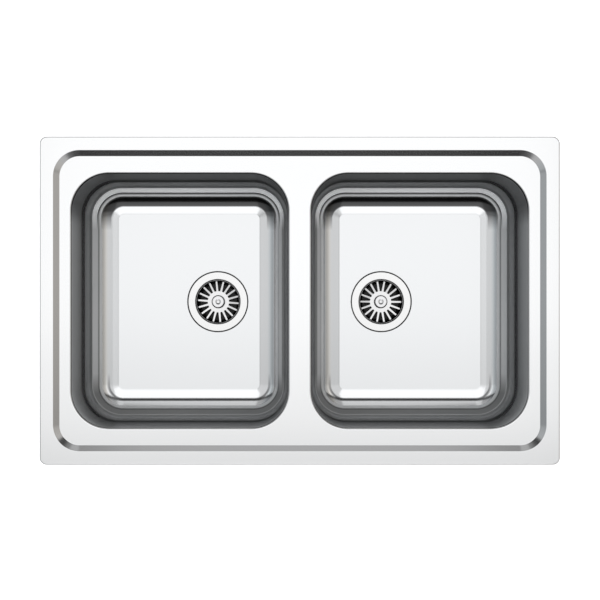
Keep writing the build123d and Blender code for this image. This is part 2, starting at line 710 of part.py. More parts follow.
for name, side in SIDES.items():
    write_piece(bowl(side), f"{name}_bowl")
    write_piece(sound_pad(side), f"{name}_sound_pad")
    write_piece(strainer_cup(side), f"{name}_strainer_cup")
    write_piece(waste_body(side), f"{name}_waste_body")
    write_piece(
        ring(
            side,
            FLANGE_GASKET_INNER_R,
            FLANGE_GASKET_OUTER_R,
            -RECESS_DEPTH,
            FLANGE_TOP - CUP_SHEET,
        ),
        f"{name}_flange_gasket",
    )
    write_piece(
        ring(side, BODY_GASKET_INNER_R, BODY_GASKET_OUTER_R, BODY_TOP, RECESS_UNDERSIDE),
        f"{name}_body_gasket",
    )
    write_piece(
        ring(side, SCREW_R + SCREW_THREAD_FIT, INSERT_R, INSERT_END, INSERT_TOP),
        f"{name}_thread_insert",
    )
    write_piece(
        cap_screw(
            side,
            SCREW_R,
            SCREW_END,
            SCREW_HEAD_R,
            CUP_FLOOR,
            CUP_FLOOR + SCREW_HEAD_HEIGHT,
            SOCKET_WIDTH,
            SOCKET_DEPTH,
        ),
        f"{name}_centre_screw",
    )
    write_piece(basket(side, RIB_ANGLES[name]), f"{name}_basket")
    write_piece(basket_knob(side), f"{name}_knob")
    write_piece(
        cap_screw(
            side,
            PIN_R,
            PIN_END,
            PIN_HEAD_R,
            KNOB_TOP - DIMPLE_DEPTH,
            PIN_HEAD_TOP,
            PIN_SOCKET_WIDTH,
            PIN_SOCKET_DEPTH,
        ),
        f"{name}_knob_screw",
    )
    write_piece(basket_stem(side), f"{name}_basket_stem")
    write_piece(basket_stopper(side), f"{name}_stopper")
    write_piece(ring(side, CLIP_GROOVE_R, CLIP_R, CLIP_BOTTOM, CLIP_TOP), f"{name}_stopper_clip")
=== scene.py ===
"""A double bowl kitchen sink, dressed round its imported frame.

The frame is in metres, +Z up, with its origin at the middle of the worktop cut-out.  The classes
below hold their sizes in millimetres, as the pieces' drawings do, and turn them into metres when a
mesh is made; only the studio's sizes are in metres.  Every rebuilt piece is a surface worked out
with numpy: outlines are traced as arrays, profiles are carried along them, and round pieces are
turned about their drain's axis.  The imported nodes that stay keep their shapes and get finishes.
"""

import logging
from dataclasses import dataclass, field
from enum import Enum
from math import cos, pi, radians, sin, tan

import bmesh
import bpy
import numpy as np
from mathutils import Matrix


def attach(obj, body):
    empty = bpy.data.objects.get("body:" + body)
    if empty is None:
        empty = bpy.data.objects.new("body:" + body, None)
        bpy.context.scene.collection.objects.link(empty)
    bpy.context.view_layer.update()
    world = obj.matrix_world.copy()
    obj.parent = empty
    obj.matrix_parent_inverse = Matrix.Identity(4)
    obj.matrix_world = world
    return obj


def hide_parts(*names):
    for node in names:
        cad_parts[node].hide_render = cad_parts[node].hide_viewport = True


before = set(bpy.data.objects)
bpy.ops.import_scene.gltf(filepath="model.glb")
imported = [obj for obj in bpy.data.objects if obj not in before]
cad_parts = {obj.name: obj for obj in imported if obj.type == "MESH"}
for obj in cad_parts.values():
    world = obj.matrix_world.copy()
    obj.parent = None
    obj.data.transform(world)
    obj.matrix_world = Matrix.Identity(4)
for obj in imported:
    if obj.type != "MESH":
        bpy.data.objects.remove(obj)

Array = np.ndarray
Point = tuple[float, float]
Color = tuple[float, float, float]
Socket = bpy.types.NodeSocket
Band = tuple[float, float, float]  # height in mm, share of painted brightness, share of painted glance
Zone = tuple[float, float, float, float]  # height in mm, painted brightness, roughness, sheen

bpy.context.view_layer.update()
MM = 0.001
UP = np.array([0.0, 0.0, 1.0])
NOISE_SPAN = (0.3, 0.7)  # most of a noise's values lie between these
WELD = 1e-6  # vertices closer than this, in metres, are one
SHARP_ANGLE = radians(38.0)  # edges that turn more than this stay crisp
NO_TURN = 1e-6  # a path that turns by less than this, in radians, runs straight on
GUARD = 0.5  # mm of flat kept beside each bend, so that a flat face shades flat

log = logging.getLogger("sink")


class Side(Enum):
    """The two halves of the sink."""

    LEFT = -1
    RIGHT = 1

    @property
    def word(self) -> str:
        """The half's name, as the nodes use it."""
        return self.name.lower()

    def place(self, points: Array) -> Array:
        """Points worked out for the right half, carried over to this half by mirroring in X."""
        return points * np.array([self.value, 1.0, 1.0])


# ---- outlines and profiles ----
@dataclass(frozen=True)
class Straight:
    """A straight run of a plan outline; its samples crowd towards both ends."""

    start: Point
    end: Point
    facing: Point
    count: int

    def trace(self) -> tuple[Array, Array]:
        """Samples the run.

        The samples lie at (1 - cos(pi s)) / 2 of the run's length, for s in even steps from 0 to 1.

        Returns:
            Points and outward directions, each (count + 1, 2).
        """
        share = (1 - np.cos(pi * np.linspace(0, 1, self.count + 1)))[:, None] / 2
        points = np.array(self.start) * (1 - share) + np.array(self.end) * share
        return points, np.tile(self.facing, (self.count + 1, 1))


@dataclass(frozen=True)
class Bend:
    """A round corner of a plan outline, from one angle to another in degrees from +X."""

    centre: Point
    radius: float
    first: float
    last: float
    count: int

    def trace(self) -> tuple[Array, Array]:
        """Samples the corner: centre + radius (cos a, sin a), for a in even steps.

        Returns:
            Points and outward directions, each (count + 1, 2).
        """
        angle = np.radians(np.linspace(self.first, self.last, self.count + 1))
        facing = np.stack([np.cos(angle), np.sin(angle)], axis=1)
        return np.array(self.centre) + self.radius * facing, facing


@dataclass(frozen=True)
class Outline:
    """A plan outline: its points and, at each of them, the way out."""

    points: Array
    facing: Array

    @staticmethod
    def of(runs: list[Straight | Bend], closed: bool = True) -> "Outline":
        """Joins runs end to end.

        Args:
            runs: The straight and round runs, in order.
            closed: Whether the last run ends where the first began.

        Returns:
            The outline, with each shared point once.
        """
        traced = [run.trace() for run in runs]
        points = [p[:-1] for p, _ in traced]
        facing = [f[:-1] for _, f in traced]
        if not closed:
            points.append(traced[-1][0][-1:])
            facing.append(traced[-1][1][-1:])
        return Outline(np.concatenate(points), np.concatenate(facing))

    def doubled(self) -> "Outline":
        """An open outline of the right half, joined to its own mirror image into a closed one."""
        flip = np.array([-1.0, 1.0])
        return Outline(
            np.concatenate([self.points, (self.points * flip)[-2:0:-1]]),
            np.concatenate([self.facing, (self.facing * flip)[-2:0:-1]]),
        )

    def ring(self, outwards: float, height: float) -> Array:
        """The outline moved outwards by a distance, at one height, as (n, 3) points."""
        plan = self.points + outwards * self.facing
        return np.column_stack([plan, np.full(len(plan), height)])

    def carry(self, profile: Array) -> Array:
        """A grid, (m, n, 3): point + distance x way out, for each (distance, height) of a profile."""
        return np.stack([self.ring(out, height) for out, height in profile])


def rounded_path(corners: list[Point], radii: list[float], steps: int, guard: float = GUARD) -> Array:
    """A path through corners, with each inner corner rounded by an arc tangent to both runs.

    The arc of radius r starts r tan(turn / 2) before the corner.  A point is kept at the guard
    distance on either side of it, so that the straight runs shade straight.

    Args:
        corners: The path's corners.
        radii: One radius for each inner corner; 0 keeps it sharp.
        steps: Segments in each arc.
        guard: Length of straight run kept beside each arc.

    Returns:
        The path's points, (n, 2).
    """
    spots = np.array(corners, float)
    path = [spots[:1]]
    for corner, before, after, radius in zip(spots[1:-1], spots, spots[2:], radii):
        way_in = (corner - before) / np.linalg.norm(corner - before)
        way_out = (after - corner) / np.linalg.norm(after - corner)
        turn = np.arctan2(way_in[0] * way_out[1] - way_in[1] * way_out[0], way_in @ way_out)
        if radius == 0 or abs(turn) < NO_TURN:
            path.append(corner[None])
            continue
        reach = radius * tan(abs(turn) / 2)
        side = np.sign(turn) * np.array([-way_in[1], way_in[0]])
        middle = corner - reach * way_in + radius * side
        angle = np.linspace(0, abs(turn), steps + 1)[:, None]
        arc = middle + radius * (np.sin(angle) * way_in - np.cos(angle) * side)
        path += [arc[:1] - guard * way_in, arc, arc[-1:] + guard * way_out]
    path.append(spots[-1:])
    return np.concatenate(path)


# ---- meshes ----
def grid_faces(rows: int, columns: int, wrap_rows: bool, wrap_columns: bool = True) -> Array:
    """The four-sided faces of a grid whose points are numbered row by row.

    Args:
        rows: Rows of points.
        columns: Points in each row.
        wrap_rows: Whether the last row is joined to the first.
        wrap_columns: Whether the last point of a row is joined to its first.

    Returns:
        The faces by point number, (n, 4).
    """
    row = np.arange(rows if wrap_rows else rows - 1)[:, None]
    column = np.arange(columns if wrap_columns else columns - 1)[None, :]
    next_row, next_column = (row + 1) % rows, (column + 1) % columns
    quads = np.stack(
        [
            row * columns + column,
            row * columns + next_column,
            next_row * columns + next_column,
            next_row * columns + column,
        ],
        axis=-1,
    )
    return quads.reshape(-1, 4)


@dataclass
class Skin:
    """The points and faces of one piece, gathered from several surfaces, in millimetres."""

    points: list[Array] = field(default_factory=list)
    faces: list[Array] = field(default_factory=list)
    marks: list[Array] = field(default_factory=list)

    def add(self, points: Array, faces: Array, mark: int = 0) -> None:
        """Adds a surface.

        Args:
            points: Its points, (n, 3).
            faces: Its faces, by the number of its own points.
            mark: Which of the piece's finishes it has.
        """
        start = sum(len(p) for p in self.points)
        self.points.append(points)
        self.faces.append(faces + start)
        self.marks.append(np.full(len(faces), mark))

    def add_grid(
        self, grid: Array, wrap_rows: bool = False, wrap_columns: bool = True, mark: int = 0
    ) -> None:
        """Adds an (m, n, 3) grid of points, closed along its rows and columns as told."""
        self.add(grid.reshape(-1, 3), grid_faces(*grid.shape[:2], wrap_rows, wrap_columns), mark)

    def add_slab(self, corners: Array, thick: Array) -> None:
        """Adds a block.

        Args:
            corners: The four corners of one face, (4, 3).
            thick: The way from that face to the one across.
        """
        sides = [[i, (i + 1) % 4, (i + 1) % 4 + 4, i + 4] for i in range(4)]
        faces = np.array([[3, 2, 1, 0], [4, 5, 6, 7], *sides])
        self.add(np.concatenate([corners, corners + thick]), faces)

    def add_pierced(self, upper: Array, lower: Array, solid: Array) -> None:
        """Adds a sheet with openings, as two matching grids that wrap round along their columns.

        A cell of the grid that isn't solid has no face, and a wall joins the two surfaces wherever
        a solid cell meets an open one or the sheet's edge.

        Args:
            upper: The upper surface, (m, n, 3).
            lower: The lower surface, (m, n, 3).
            solid: (m - 1, n) truth values, one for each cell.
        """
        rows, columns = upper.shape[:2]
        cells = grid_faces(rows, columns, False)[solid.reshape(-1)]
        below = rows * columns
        framed = np.pad(solid, ((1, 1), (0, 0)))
        row, column = np.nonzero(framed[:-1] ^ framed[1:])
        level = np.stack([row * columns + column, row * columns + (column + 1) % columns], axis=-1)
        row, column = np.nonzero(solid ^ np.roll(solid, 1, axis=1))
        upright = np.stack([row * columns + column, (row + 1) * columns + column], axis=-1)
        edges = np.concatenate([level, upright])
        walls = np.concatenate([edges, edges[:, ::-1] + below], axis=1)
        both = np.concatenate([upper.reshape(-1, 3), lower.reshape(-1, 3)])
        self.add(both, np.concatenate([cells, cells[:, ::-1] + below, walls]))

    def mesh(self, name: str) -> bpy.types.Mesh:
        """Welds the surfaces into one closed mesh in metres, with its faces outwards.

        Args:
            name: The mesh's name.

        Returns:
            The mesh, smooth between its sharp edges.
        """
        mesh = bpy.data.meshes.new(name)
        mesh.from_pydata(
            (np.concatenate(self.points) * MM).tolist(), [], np.concatenate(self.faces).tolist()
        )
        mesh.polygons.foreach_set("material_index", np.concatenate(self.marks))
        work = bmesh.new()
        work.from_mesh(mesh)
        bmesh.ops.remove_doubles(work, verts=work.verts, dist=WELD)
        loose = [v for v in work.verts if not v.link_faces]
        bmesh.ops.delete(work, geom=loose, context="VERTS")
        bmesh.ops.recalc_face_normals(work, faces=work.faces)
        work.to_mesh(mesh)
        work.free()
        mesh.polygons.foreach_set("use_smooth", np.ones(len(mesh.polygons), bool))
        mesh.set_sharp_from_angle(angle=SHARP_ANGLE)
        return mesh


def turned(profile: Array, centre: Point, steps: int) -> Array:
    """Turns a profile about an upright axis: centre + radius (cos a, sin a), at its height.

    Args:
        profile: Pairs of a radius and a height, (m, 2).
        centre: The axis's place.
        steps: Points in each ring.

    Returns:
        A grid that wraps round, (m, steps, 3).
    """
    angle = np.linspace(0, 2 * pi, steps, endpoint=False)
    radius, height = profile[:, :1], profile[:, 1:]
    return np.stack(
        [
            centre[0] + radius * np.cos(angle),
            centre[1] + radius * np.sin(angle),
            np.broadcast_to(height, (len(profile), steps)),
        ],
        axis=-1,
    )


# ---- finishes ----
class Nodes:
    """A small helper that fills one material's or world's node tree."""

    def __init__(self, tree: bpy.types.NodeTree) -> None:
        """Clears the tree and keeps it."""
        tree.nodes.clear()
        self.tree = tree

    def add(self, kind: str, settings: dict | None = None, inputs: dict | None = None) -> bpy.types.Node:
        """Adds a node.

        Args:
            kind: The node's type, such as ShaderNodeBump.
            settings: Its properties.
            inputs: Its sockets, by name or number: a socket to link, or a value to set.

        Returns:
            The node.
        """
        node = self.tree.nodes.new(kind)
        for key, value in (settings or {}).items():
            setattr(node, key, value)
        for key, value in (inputs or {}).items():
            if isinstance(value, Socket):
                self.tree.links.new(value, node.inputs[key])
            else:
                node.inputs[key].default_value = value
        return node

    def maths(self, operation: str, *values: float | Socket) -> Socket:
        """One Math node on numbers and sockets; gives its result."""
        return self.add("ShaderNodeMath", {"operation": operation}, dict(enumerate(values))).outputs[0]

    def ramp(self, value: Socket, stops: list[tuple[float, Color]]) -> Socket:
        """A colour ramp.

        Args:
            value: The place on the ramp.
            stops: Pairs of a place from 0 to 1 and a colour, in order.

        Returns:
            The ramp's colour.
        """
        node = self.add("ShaderNodeValToRGB", inputs={0: value})
        elements = node.color_ramp.elements
        elements[0].position, elements[1].position = stops[0][0], stops[-1][0]
        elements[0].color, elements[1].color = (*stops[0][1], 1), (*stops[-1][1], 1)
        for place, color in stops[1:-1]:
            elements.new(place).color = (*color, 1)
        return node.outputs[0]

    def rise(self, value: Socket, begin: float, hold: float) -> Socket:
        """Nothing until the value reaches one distance in mm, and all from another on."""
        return self.add("ShaderNodeMapRange", inputs={0: value, 1: begin * MM, 2: hold * MM}).outputs[0]

    def sway(self, value: Socket, middle: float, reach: float) -> Socket:
        """A value from 0 to 1, spread to a reach on either side of a middle."""
        inputs = {0: value, 3: middle - reach, 4: middle + reach}
        return self.add("ShaderNodeMapRange", inputs=inputs).outputs[0]

    def multiply(self, share: float | Socket, first: Socket, second: Socket) -> Socket:
        """A colour made darker by another, to a share; gives the result."""
        settings = {"data_type": "RGBA", "blend_type": "MULTIPLY"}
        return self.add("ShaderNodeMix", settings, {0: share, 6: first, 7: second}).outputs[2]

    def bump(self, height: Socket, strength: float, distance: float) -> Socket:
        """A relief from a height, of a strength and a depth in metres; gives its normal."""
        inputs = {"Height": height, "Strength": strength, "Distance": distance}
        return self.add("ShaderNodeBump", inputs=inputs).outputs[0]

    def spot(self) -> Socket:
        """The place on the piece, in the part's own frame."""
        return self.add("ShaderNodeTexCoord").outputs["Object"]

    def noise(self, stretch: tuple[float, float, float], detail: float) -> Socket:
        """Noise on the piece's own coordinates.

        Args:
            stretch: Its scale along each axis, per metre.
            detail: How much finer detail it has.

        Returns:
            Its value, from 0 to 1.
        """
        mapped = self.add("ShaderNodeMapping", inputs={0: self.spot(), "Scale": stretch}).outputs[0]
        inputs = {"Vector": mapped, "Scale": 1.0, "Detail": detail}
        return self.add("ShaderNodeTexNoise", inputs=inputs).outputs[0]

    def surface(
        self, color: Socket, metallic: float, rough: float | Socket, normal: Socket
    ) -> bpy.types.Node:
        """A shader of a colour, a share of metal, a roughness and a relief."""
        inputs = {"Base Color": color, "Metallic": metallic, "Roughness": rough, "Normal": normal}
        return self.add("ShaderNodeBsdfPrincipled", inputs=inputs)


@dataclass(frozen=True)
class Finish:
    """What every finish has: a name, a colour, and a roughness."""

    name: str
    color: Color
    roughness: float

    def material(self) -> bpy.types.Material:
        """Makes the finish's material the first time it is asked for.

        Returns:
            The material.
        """
        label = f"{self.name}_finish"
        made = bpy.data.materials.get(label)
        if made is None:
            made = bpy.data.materials.new(label)
            made.use_nodes = True
            nodes = Nodes(made.node_tree)
            nodes.add("ShaderNodeOutputMaterial", inputs={0: self.shader(nodes).outputs[0]})
        return made

    def tinted(self, nodes: Nodes, value: Socket, spread: float) -> Socket:
        """The finish's colour, made darker and lighter by a noise.

        Args:
            nodes: The material's nodes.
            value: The noise, from 0 to 1.
            spread: The share of the colour that it changes by, either way.

        Returns:
            The colour.
        """
        darker = tuple(c * (1 - spread) for c in self.color)
        lighter = tuple(min(1.0, c * (1 + spread)) for c in self.color)
        return nodes.ramp(value, list(zip(NOISE_SPAN, (darker, lighter))))

    def shader(self, nodes: Nodes) -> bpy.types.Node:
        """Fills the material's nodes and gives the shader."""
        raise NotImplementedError


@dataclass(frozen=True)
class SheetSteel(Finish):
    """Stainless sheet with a fine grain left by its polishing belt."""

    grain: float = 0.03  # how much the roughness changes along the grain
    relief: float = 0.02  # strength of the grain's bump
    depth: float = 0.0002  # the bump's depth in metres
    across: float = 1400.0  # grain lines per metre
    along: float = 12.0
    clouds: tuple[float, float, float] = (7.0, 9.0, 9.0)  # broad patches per metre
    mottle: float = 0.012  # how much the patches change the colour

    def shader(self, nodes: Nodes) -> bpy.types.Node:
        """Makes metal whose roughness and height follow a noise stretched along the grain.

        Args:
            nodes: The material's nodes.

        Returns:
            The shader.
        """
        lines = nodes.noise((self.along, self.across, self.across), 2.0)
        clouds = nodes.noise(self.clouds, 3.0)
        rough = nodes.sway(lines, self.roughness, self.grain)
        bump = nodes.bump(lines, self.relief, self.depth)
        return nodes.surface(self.tinted(nodes, clouds, self.mottle), 1.0, rough, bump)


@dataclass(frozen=True)
class PaintedShadeSteel(SheetSteel):
    """Sheet drawn to shape, with painted shade and painted reflections in bands over its height.

    The painted glance is the brightness at a glancing angle.  The front, back and inner walls each
    scale the painted brightness and the painted glance by bands of their own.
    """

    painted_bands: tuple[Zone, ...] = ()
    painted_glance: tuple[Point, ...] = ((-200.0, 1.0), (10.0, 1.0))  # height in mm, painted brightness at a glancing angle
    front_painted_shade: tuple[Band, ...] = ()
    back_painted_shade: tuple[Band, ...] = ()
    inner_painted_shade: tuple[Band, ...] = ()
    end_walls: Point = (118.0, 150.0)  # how far out in Y an end wall's own painted shade begins, and holds
    inner_wall: Point = (100.0, 62.0)  # how far out in X the inner wall's own painted shade begins, and holds

    def shader(self, nodes: Nodes) -> bpy.types.Node:
        """Makes the sheet's shader, with painted shade in its colour and glance, and its roughness and
        sheen, banded by height.

        Args:
            nodes: The material's nodes.

        Returns:
            The shader.
        """
        shader = super().shader(nodes)
        out, across, height = nodes.add("ShaderNodeSeparateXYZ", inputs={0: nodes.spot()}).outputs
        # the colour's bands by height are painted shade and painted reflections
        zones = [(zone[0], tuple(c * zone[1] for c in self.color)) for zone in self.painted_bands]
        color = self.banded(nodes, height, zones)
        painted_glance = self.level(nodes, height, self.painted_glance, 1)
        begin, hold = self.end_walls
        between = nodes.rise(nodes.maths("ABSOLUTE", across), hold, begin)
        inside = nodes.rise(nodes.maths("ABSOLUTE", out), *self.inner_wall)
        # each wall's own bands paint it lighter or darker, in colour and in glance
        for share, painted_bands in (
            (nodes.rise(across, -begin, -hold), self.front_painted_shade),
            (nodes.rise(across, begin, hold), self.back_painted_shade),
            (nodes.maths("MULTIPLY", inside, between), self.inner_painted_shade),
        ):
            if painted_bands:
                color = nodes.multiply(share, color, self.level(nodes, height, painted_bands, 1))
                painted_glance = nodes.multiply(share, painted_glance, self.level(nodes, height, painted_bands, 2))
        for name, value in {
            "Base Color": color,
            "Roughness": self.level(nodes, height, self.painted_bands, 2),
            "Metallic": self.level(nodes, height, self.painted_bands, 3),
            "Specular Tint": painted_glance,
        }.items():
            nodes.tree.links.new(value, shader.inputs[name])
        return shader

    @staticmethod
    def banded(nodes: Nodes, height: Socket, stops: list[tuple[float, Color]]) -> Socket:
        """A colour ramp over the height.

        Args:
            nodes: The material's nodes.
            height: The height on the piece.
            stops: Pairs of a height in mm and a colour, from low to high.

        Returns:
            The ramp's colour.
        """
        low, high = stops[0][0], stops[-1][0]
        place = nodes.rise(height, low, high)
        return nodes.ramp(place, [((z - low) / (high - low), color) for z, color in stops])

    @staticmethod
    def level(nodes: Nodes, height: Socket, painted_bands: tuple[tuple[float, ...], ...], column: int) -> Socket:
        """One column of a table of bands, as a grey ramp over the height in its first column."""
        return PaintedShadeSteel.banded(nodes, height, [(band[0], (band[column],) * 3) for band in painted_bands])


@dataclass(frozen=True)
class Moulded(Finish):
    """Plastic, rubber or foam with a pebbled or cellular surface."""

    grain_size: float = 0.0006  # metres
    relief: float = 0.15
    depth: float = 0.0003  # the bump's depth in metres
    patches: float = 40.0  # per metre
    mottle: float = 0.06

    def shader(self, nodes: Nodes) -> bpy.types.Node:
        """Makes a dull surface with a fine random bump and slight mottling.

        Args:
            nodes: The material's nodes.

        Returns:
            The shader.
        """
        fine = nodes.noise((1 / self.grain_size,) * 3, 3.0)
        broad = nodes.noise((self.patches,) * 3, 3.0)
        color = self.tinted(nodes, broad, self.mottle)
        return nodes.surface(color, 0.0, self.roughness, nodes.bump(fine, self.relief, self.depth))


@dataclass(frozen=True)
class Plated(Finish):
    """Plated or turned metal: small fasteners, the insert and the clamps."""

    spangle: float = 0.05  # how much the patches change the roughness
    patches: float = 260.0  # per metre
    mottle: float = 0.05
    relief: float = 0.05
    depth: float = 0.0002  # the bump's depth in metres
    pitch: float = 0.0  # metres from one turn of an upright thread to the next; 0 for none

    def shader(self, nodes: Nodes) -> bpy.types.Node:
        """Makes metal with cloudy patches, and a thread's grooves as relief.

        Args:
            nodes: The material's nodes.

        Returns:
            The shader.
        """
        patches = nodes.noise((self.patches,) * 3, 4.0)
        rough = nodes.sway(patches, self.roughness, self.spangle)
        bump = nodes.bump(patches, self.relief, self.depth)
        if self.pitch:
            height = nodes.add("ShaderNodeSeparateXYZ", inputs={0: nodes.spot()}).outputs["Z"]
            groove = nodes.maths("PINGPONG", height, self.pitch / 2)
            inputs = {"Height": groove, "Strength": 1.0, "Normal": bump}
            bump = nodes.add("ShaderNodeBump", inputs=inputs).outputs[0]
        return nodes.surface(self.tinted(nodes, patches, self.mottle), 1.0, rough, bump)


# painted shade: the mouths' collars, their top bend and the step's slope are darker in the colour, the back
# collar darker still, with a weaker painted glance down the collars
DECK_STEEL = PaintedShadeSteel(
    "deck_steel",
    (0.73, 0.735, 0.74),
    0.12,
    relief=0.008,
    painted_bands=(
        (-8.0, 0.92, 0.36, 1.0),
        (-2.5, 0.85, 0.34, 1.0),
        (-0.6, 0.26, 0.28, 1.0),
        (0.4, 0.9, 0.15, 1.0),
        (1.05, 1.0, 0.12, 1.0),
        (1.35, 0.70, 0.14, 1.0),
        (5.65, 0.70, 0.14, 1.0),
        (5.97, 1.0, 0.12, 1.0),
        (6.2, 1.0, 0.12, 1.0),
    ),
    painted_glance=((-8.0, 0.80), (-3.0, 0.55), (-1.0, 0.25), (0.4, 1.0)),
    front_painted_shade=((-8.0, 1.0, 1.0), (0.9, 1.0, 1.0)),
    back_painted_shade=((-8.0, 1.0, 0.2), (-3.0, 0.5, 0.1), (-0.5, 0.1, 0.1), (0.2, 0.4, 0.4), (0.9, 1.0, 1.0)),
)
# painted reflections and painted shade: the walls' colour and glance are banded by height into light and
# dark reflection bands, the floor's edge into bright and dark lines, and the front, back and inner walls
# are painted lighter or darker on their own
BOWL_STEEL = PaintedShadeSteel(
    "bowl_steel",
    (0.72, 0.73, 0.74),
    0.13,
    relief=0.004,
    painted_bands=(
        (-164.6, 0.92, 0.13, 1.0),
        (-163.96, 0.92, 0.13, 1.0),
        (-163.84, 1.03, 0.13, 1.0),
        (-155.4, 0.98, 0.14, 1.0),
        (-154.4, 1.15, 0.40, 0.3),
        (-152.0, 1.12, 0.60, 0.0),
        (-151.3, 0.45, 0.50, 0.5),
        (-150.3, 0.45, 0.50, 0.5),
        (-149.6, 1.05, 0.70, 0.0),
        (-140.4, 1.05, 0.75, 0.0),
        (-139.0, 0.42, 0.50, 0.5),
        (-136.0, 0.55, 0.45, 1.0),
        (-131.0, 0.88, 0.45, 1.0),
        (-110.0, 0.84, 0.42, 1.0),
        (-103.0, 0.50, 0.36, 1.0),
        (-85.0, 0.50, 0.36, 1.0),
        (-74.0, 0.80, 0.36, 1.0),
        (-8.0, 0.88, 0.36, 1.0),
    ),
    painted_glance=(
        (-136.0, 0.9),
        (-131.0, 0.64),
        (-111.0, 0.45),
        (-104.0, 0.05),
        (-84.0, 0.04),
        (-70.0, 0.25),
        (-45.0, 0.40),
        (-25.0, 0.46),
        (-8.0, 0.48),
    ),
    inner_painted_shade=(
        (-152.0, 1.0, 1.0),
        (-151.3, 1.7, 1.0),
        (-150.3, 1.7, 1.0),
        (-149.6, 0.9, 1.0),
        (-145.0, 0.9, 1.0),
        (-144.0, 0.42, 1.0),
        (-140.4, 0.40, 1.0),
        (-139.0, 1.0, 0.9),
        (-100.0, 1.0, 0.8),
        (-60.0, 0.9, 0.6),
        (-8.0, 0.8, 0.45),
    ),
    front_painted_shade=(
        (-160.95, 1.0, 1.0),
        (-160.75, 0.22, 1.0),
        (-160.0, 0.30, 1.0),
        (-159.3, 0.60, 1.0),
        (-158.9, 1.5, 1.0),
        (-158.0, 1.15, 1.0),
        (-157.0, 1.0, 1.0),
        (-152.0, 1.0, 1.0),
        (-150.0, 0.38, 1.0),
        (-142.0, 0.42, 1.0),
        (-139.0, 1.3, 1.0),
        (-134.0, 1.5, 1.0),
        (-128.0, 1.0, 1.3),
        (-89.0, 1.0, 1.2),
        (-75.0, 1.0, 1.0),
        (-60.0, 1.0, 0.58),
        (-32.0, 1.0, 0.65),
        (-17.0, 1.0, 0.95),
        (-4.0, 1.0, 1.4),
    ),
    back_painted_shade=(
        (-161.6, 1.0, 1.0),
        (-161.45, 0.10, 1.0),
        (-158.0, 0.07, 1.0),
        (-153.9, 0.08, 1.0),
        (-153.2, 1.2, 1.0),
        (-151.6, 1.4, 1.0),
        (-151.3, 2.6, 1.0),
        (-150.7, 2.6, 1.0),
        (-150.0, 0.12, 1.0),
        (-148.5, 0.10, 1.0),
        (-147.8, 1.75, 1.0),
        (-140.0, 1.70, 1.0),
        (-138.0, 1.0, 1.0),
        (-131.0, 1.0, 1.2),
        (-85.0, 0.7, 0.9),
        (-75.0, 0.8, 0.35),
        (-58.0, 0.8, 0.28),
        (-33.0, 0.8, 0.15),
        (-10.0, 0.8, 0.12),
    ),
)
BACK_STEEL = SheetSteel("back_steel", (0.60, 0.61, 0.62), 0.34, relief=0.01)
# painted shadow: the cup is dark inside, below its bright flange
CUP_STEEL = PaintedShadeSteel(
    "cup_steel",
    (0.69, 0.69, 0.69),
    0.14,
    relief=0.008,
    across=900.0,
    along=900.0,
    painted_bands=(
        (-193.0, 0.08, 0.40, 1.0),
        (-168.0, 0.08, 0.40, 1.0),
        (-165.4, 0.16, 0.30, 1.0),
        (-164.9, 1.0, 0.14, 1.0),
        (-164.0, 1.0, 0.14, 1.0),
    ),
)
# painted shade: the dish's wall top and the rim's foot are dark, and the rim's top half bright
DISH_STEEL = PaintedShadeSteel(
    "dish_steel",
    (0.66, 0.66, 0.665),
    0.16,
    relief=0.008,
    across=900.0,
    along=900.0,
    painted_bands=(
        (-181.0, 1.0, 0.16, 1.0),
        (-168.9, 1.0, 0.16, 1.0),
        (-168.3, 0.10, 0.40, 1.0),
        (-167.2, 0.10, 0.40, 1.0),
        (-166.8, 0.50, 0.30, 1.0),
        (-166.0, 0.50, 0.30, 1.0),
    ),
)
# painted shade: the knob's rounded edge is darker, and nearly black on its front side as a painted shadow
# crescent
KNOB_CHROME = PaintedShadeSteel(
    "knob_chrome",
    (0.64, 0.64, 0.65),
    0.10,
    relief=0.002,
    grain=0.01,
    across=300.0,
    along=300.0,
    painted_bands=(
        (-180.0, 0.90, 0.12, 1.0),
        (-173.7, 0.35, 0.12, 1.0),
        (-171.6, 0.35, 0.12, 1.0),
        (-170.8, 1.00, 0.10, 1.0),
        (-169.8, 1.00, 0.10, 1.0),
    ),
    front_painted_shade=((-174.0, 0.05, 0.1), (-170.14, 0.05, 0.1), (-170.03, 1.0, 1.0)),
    end_walls=(1.0, 7.0),
)
SCREW_CHROME = Plated("screw_chrome", (0.64, 0.64, 0.65), 0.12, spangle=0.03)
SCREW_STEEL = Plated("screw_steel", (0.62, 0.63, 0.64), 0.28)
ZINC_PLATE = Plated("zinc_plate", (0.66, 0.68, 0.70), 0.34)
STUD_ZINC = Plated("stud_zinc", (0.62, 0.64, 0.66), 0.30, pitch=0.0008)
BRASS = Plated("turned_brass", (0.78, 0.57, 0.26), 0.26)
SEAL_FOAM = Moulded("seal_foam", (0.030, 0.030, 0.032), 0.90, grain_size=0.0012, relief=0.5)
GASKET_RUBBER = Moulded("gasket_rubber", (0.014, 0.014, 0.014), 0.55)
PAD_RUBBER = Moulded("pad_rubber", (0.045, 0.048, 0.052), 0.75, grain_size=0.002, relief=0.3)
WASTE_PLASTIC = Moulded("waste_plastic", (0.80, 0.80, 0.77), 0.42, relief=0.06, mottle=0.02)
STEM_PLASTIC = Moulded("stem_plastic", (0.022, 0.022, 0.024), 0.40, relief=0.05)


def show(skin: Skin, name: str, finishes: list[Finish], body: str, node: str) -> None:
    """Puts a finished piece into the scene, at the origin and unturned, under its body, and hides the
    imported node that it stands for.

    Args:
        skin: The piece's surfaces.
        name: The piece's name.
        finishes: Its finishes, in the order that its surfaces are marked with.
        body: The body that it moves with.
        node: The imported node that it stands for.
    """
    piece = bpy.data.objects.new(name, skin.mesh(name))
    bpy.context.scene.collection.objects.link(piece)
    for finish in finishes:
        piece.data.materials.append(finish.material())
    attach(piece, body)
    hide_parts(node)
    log.info("made %s with %d faces", name, len(piece.data.polygons))


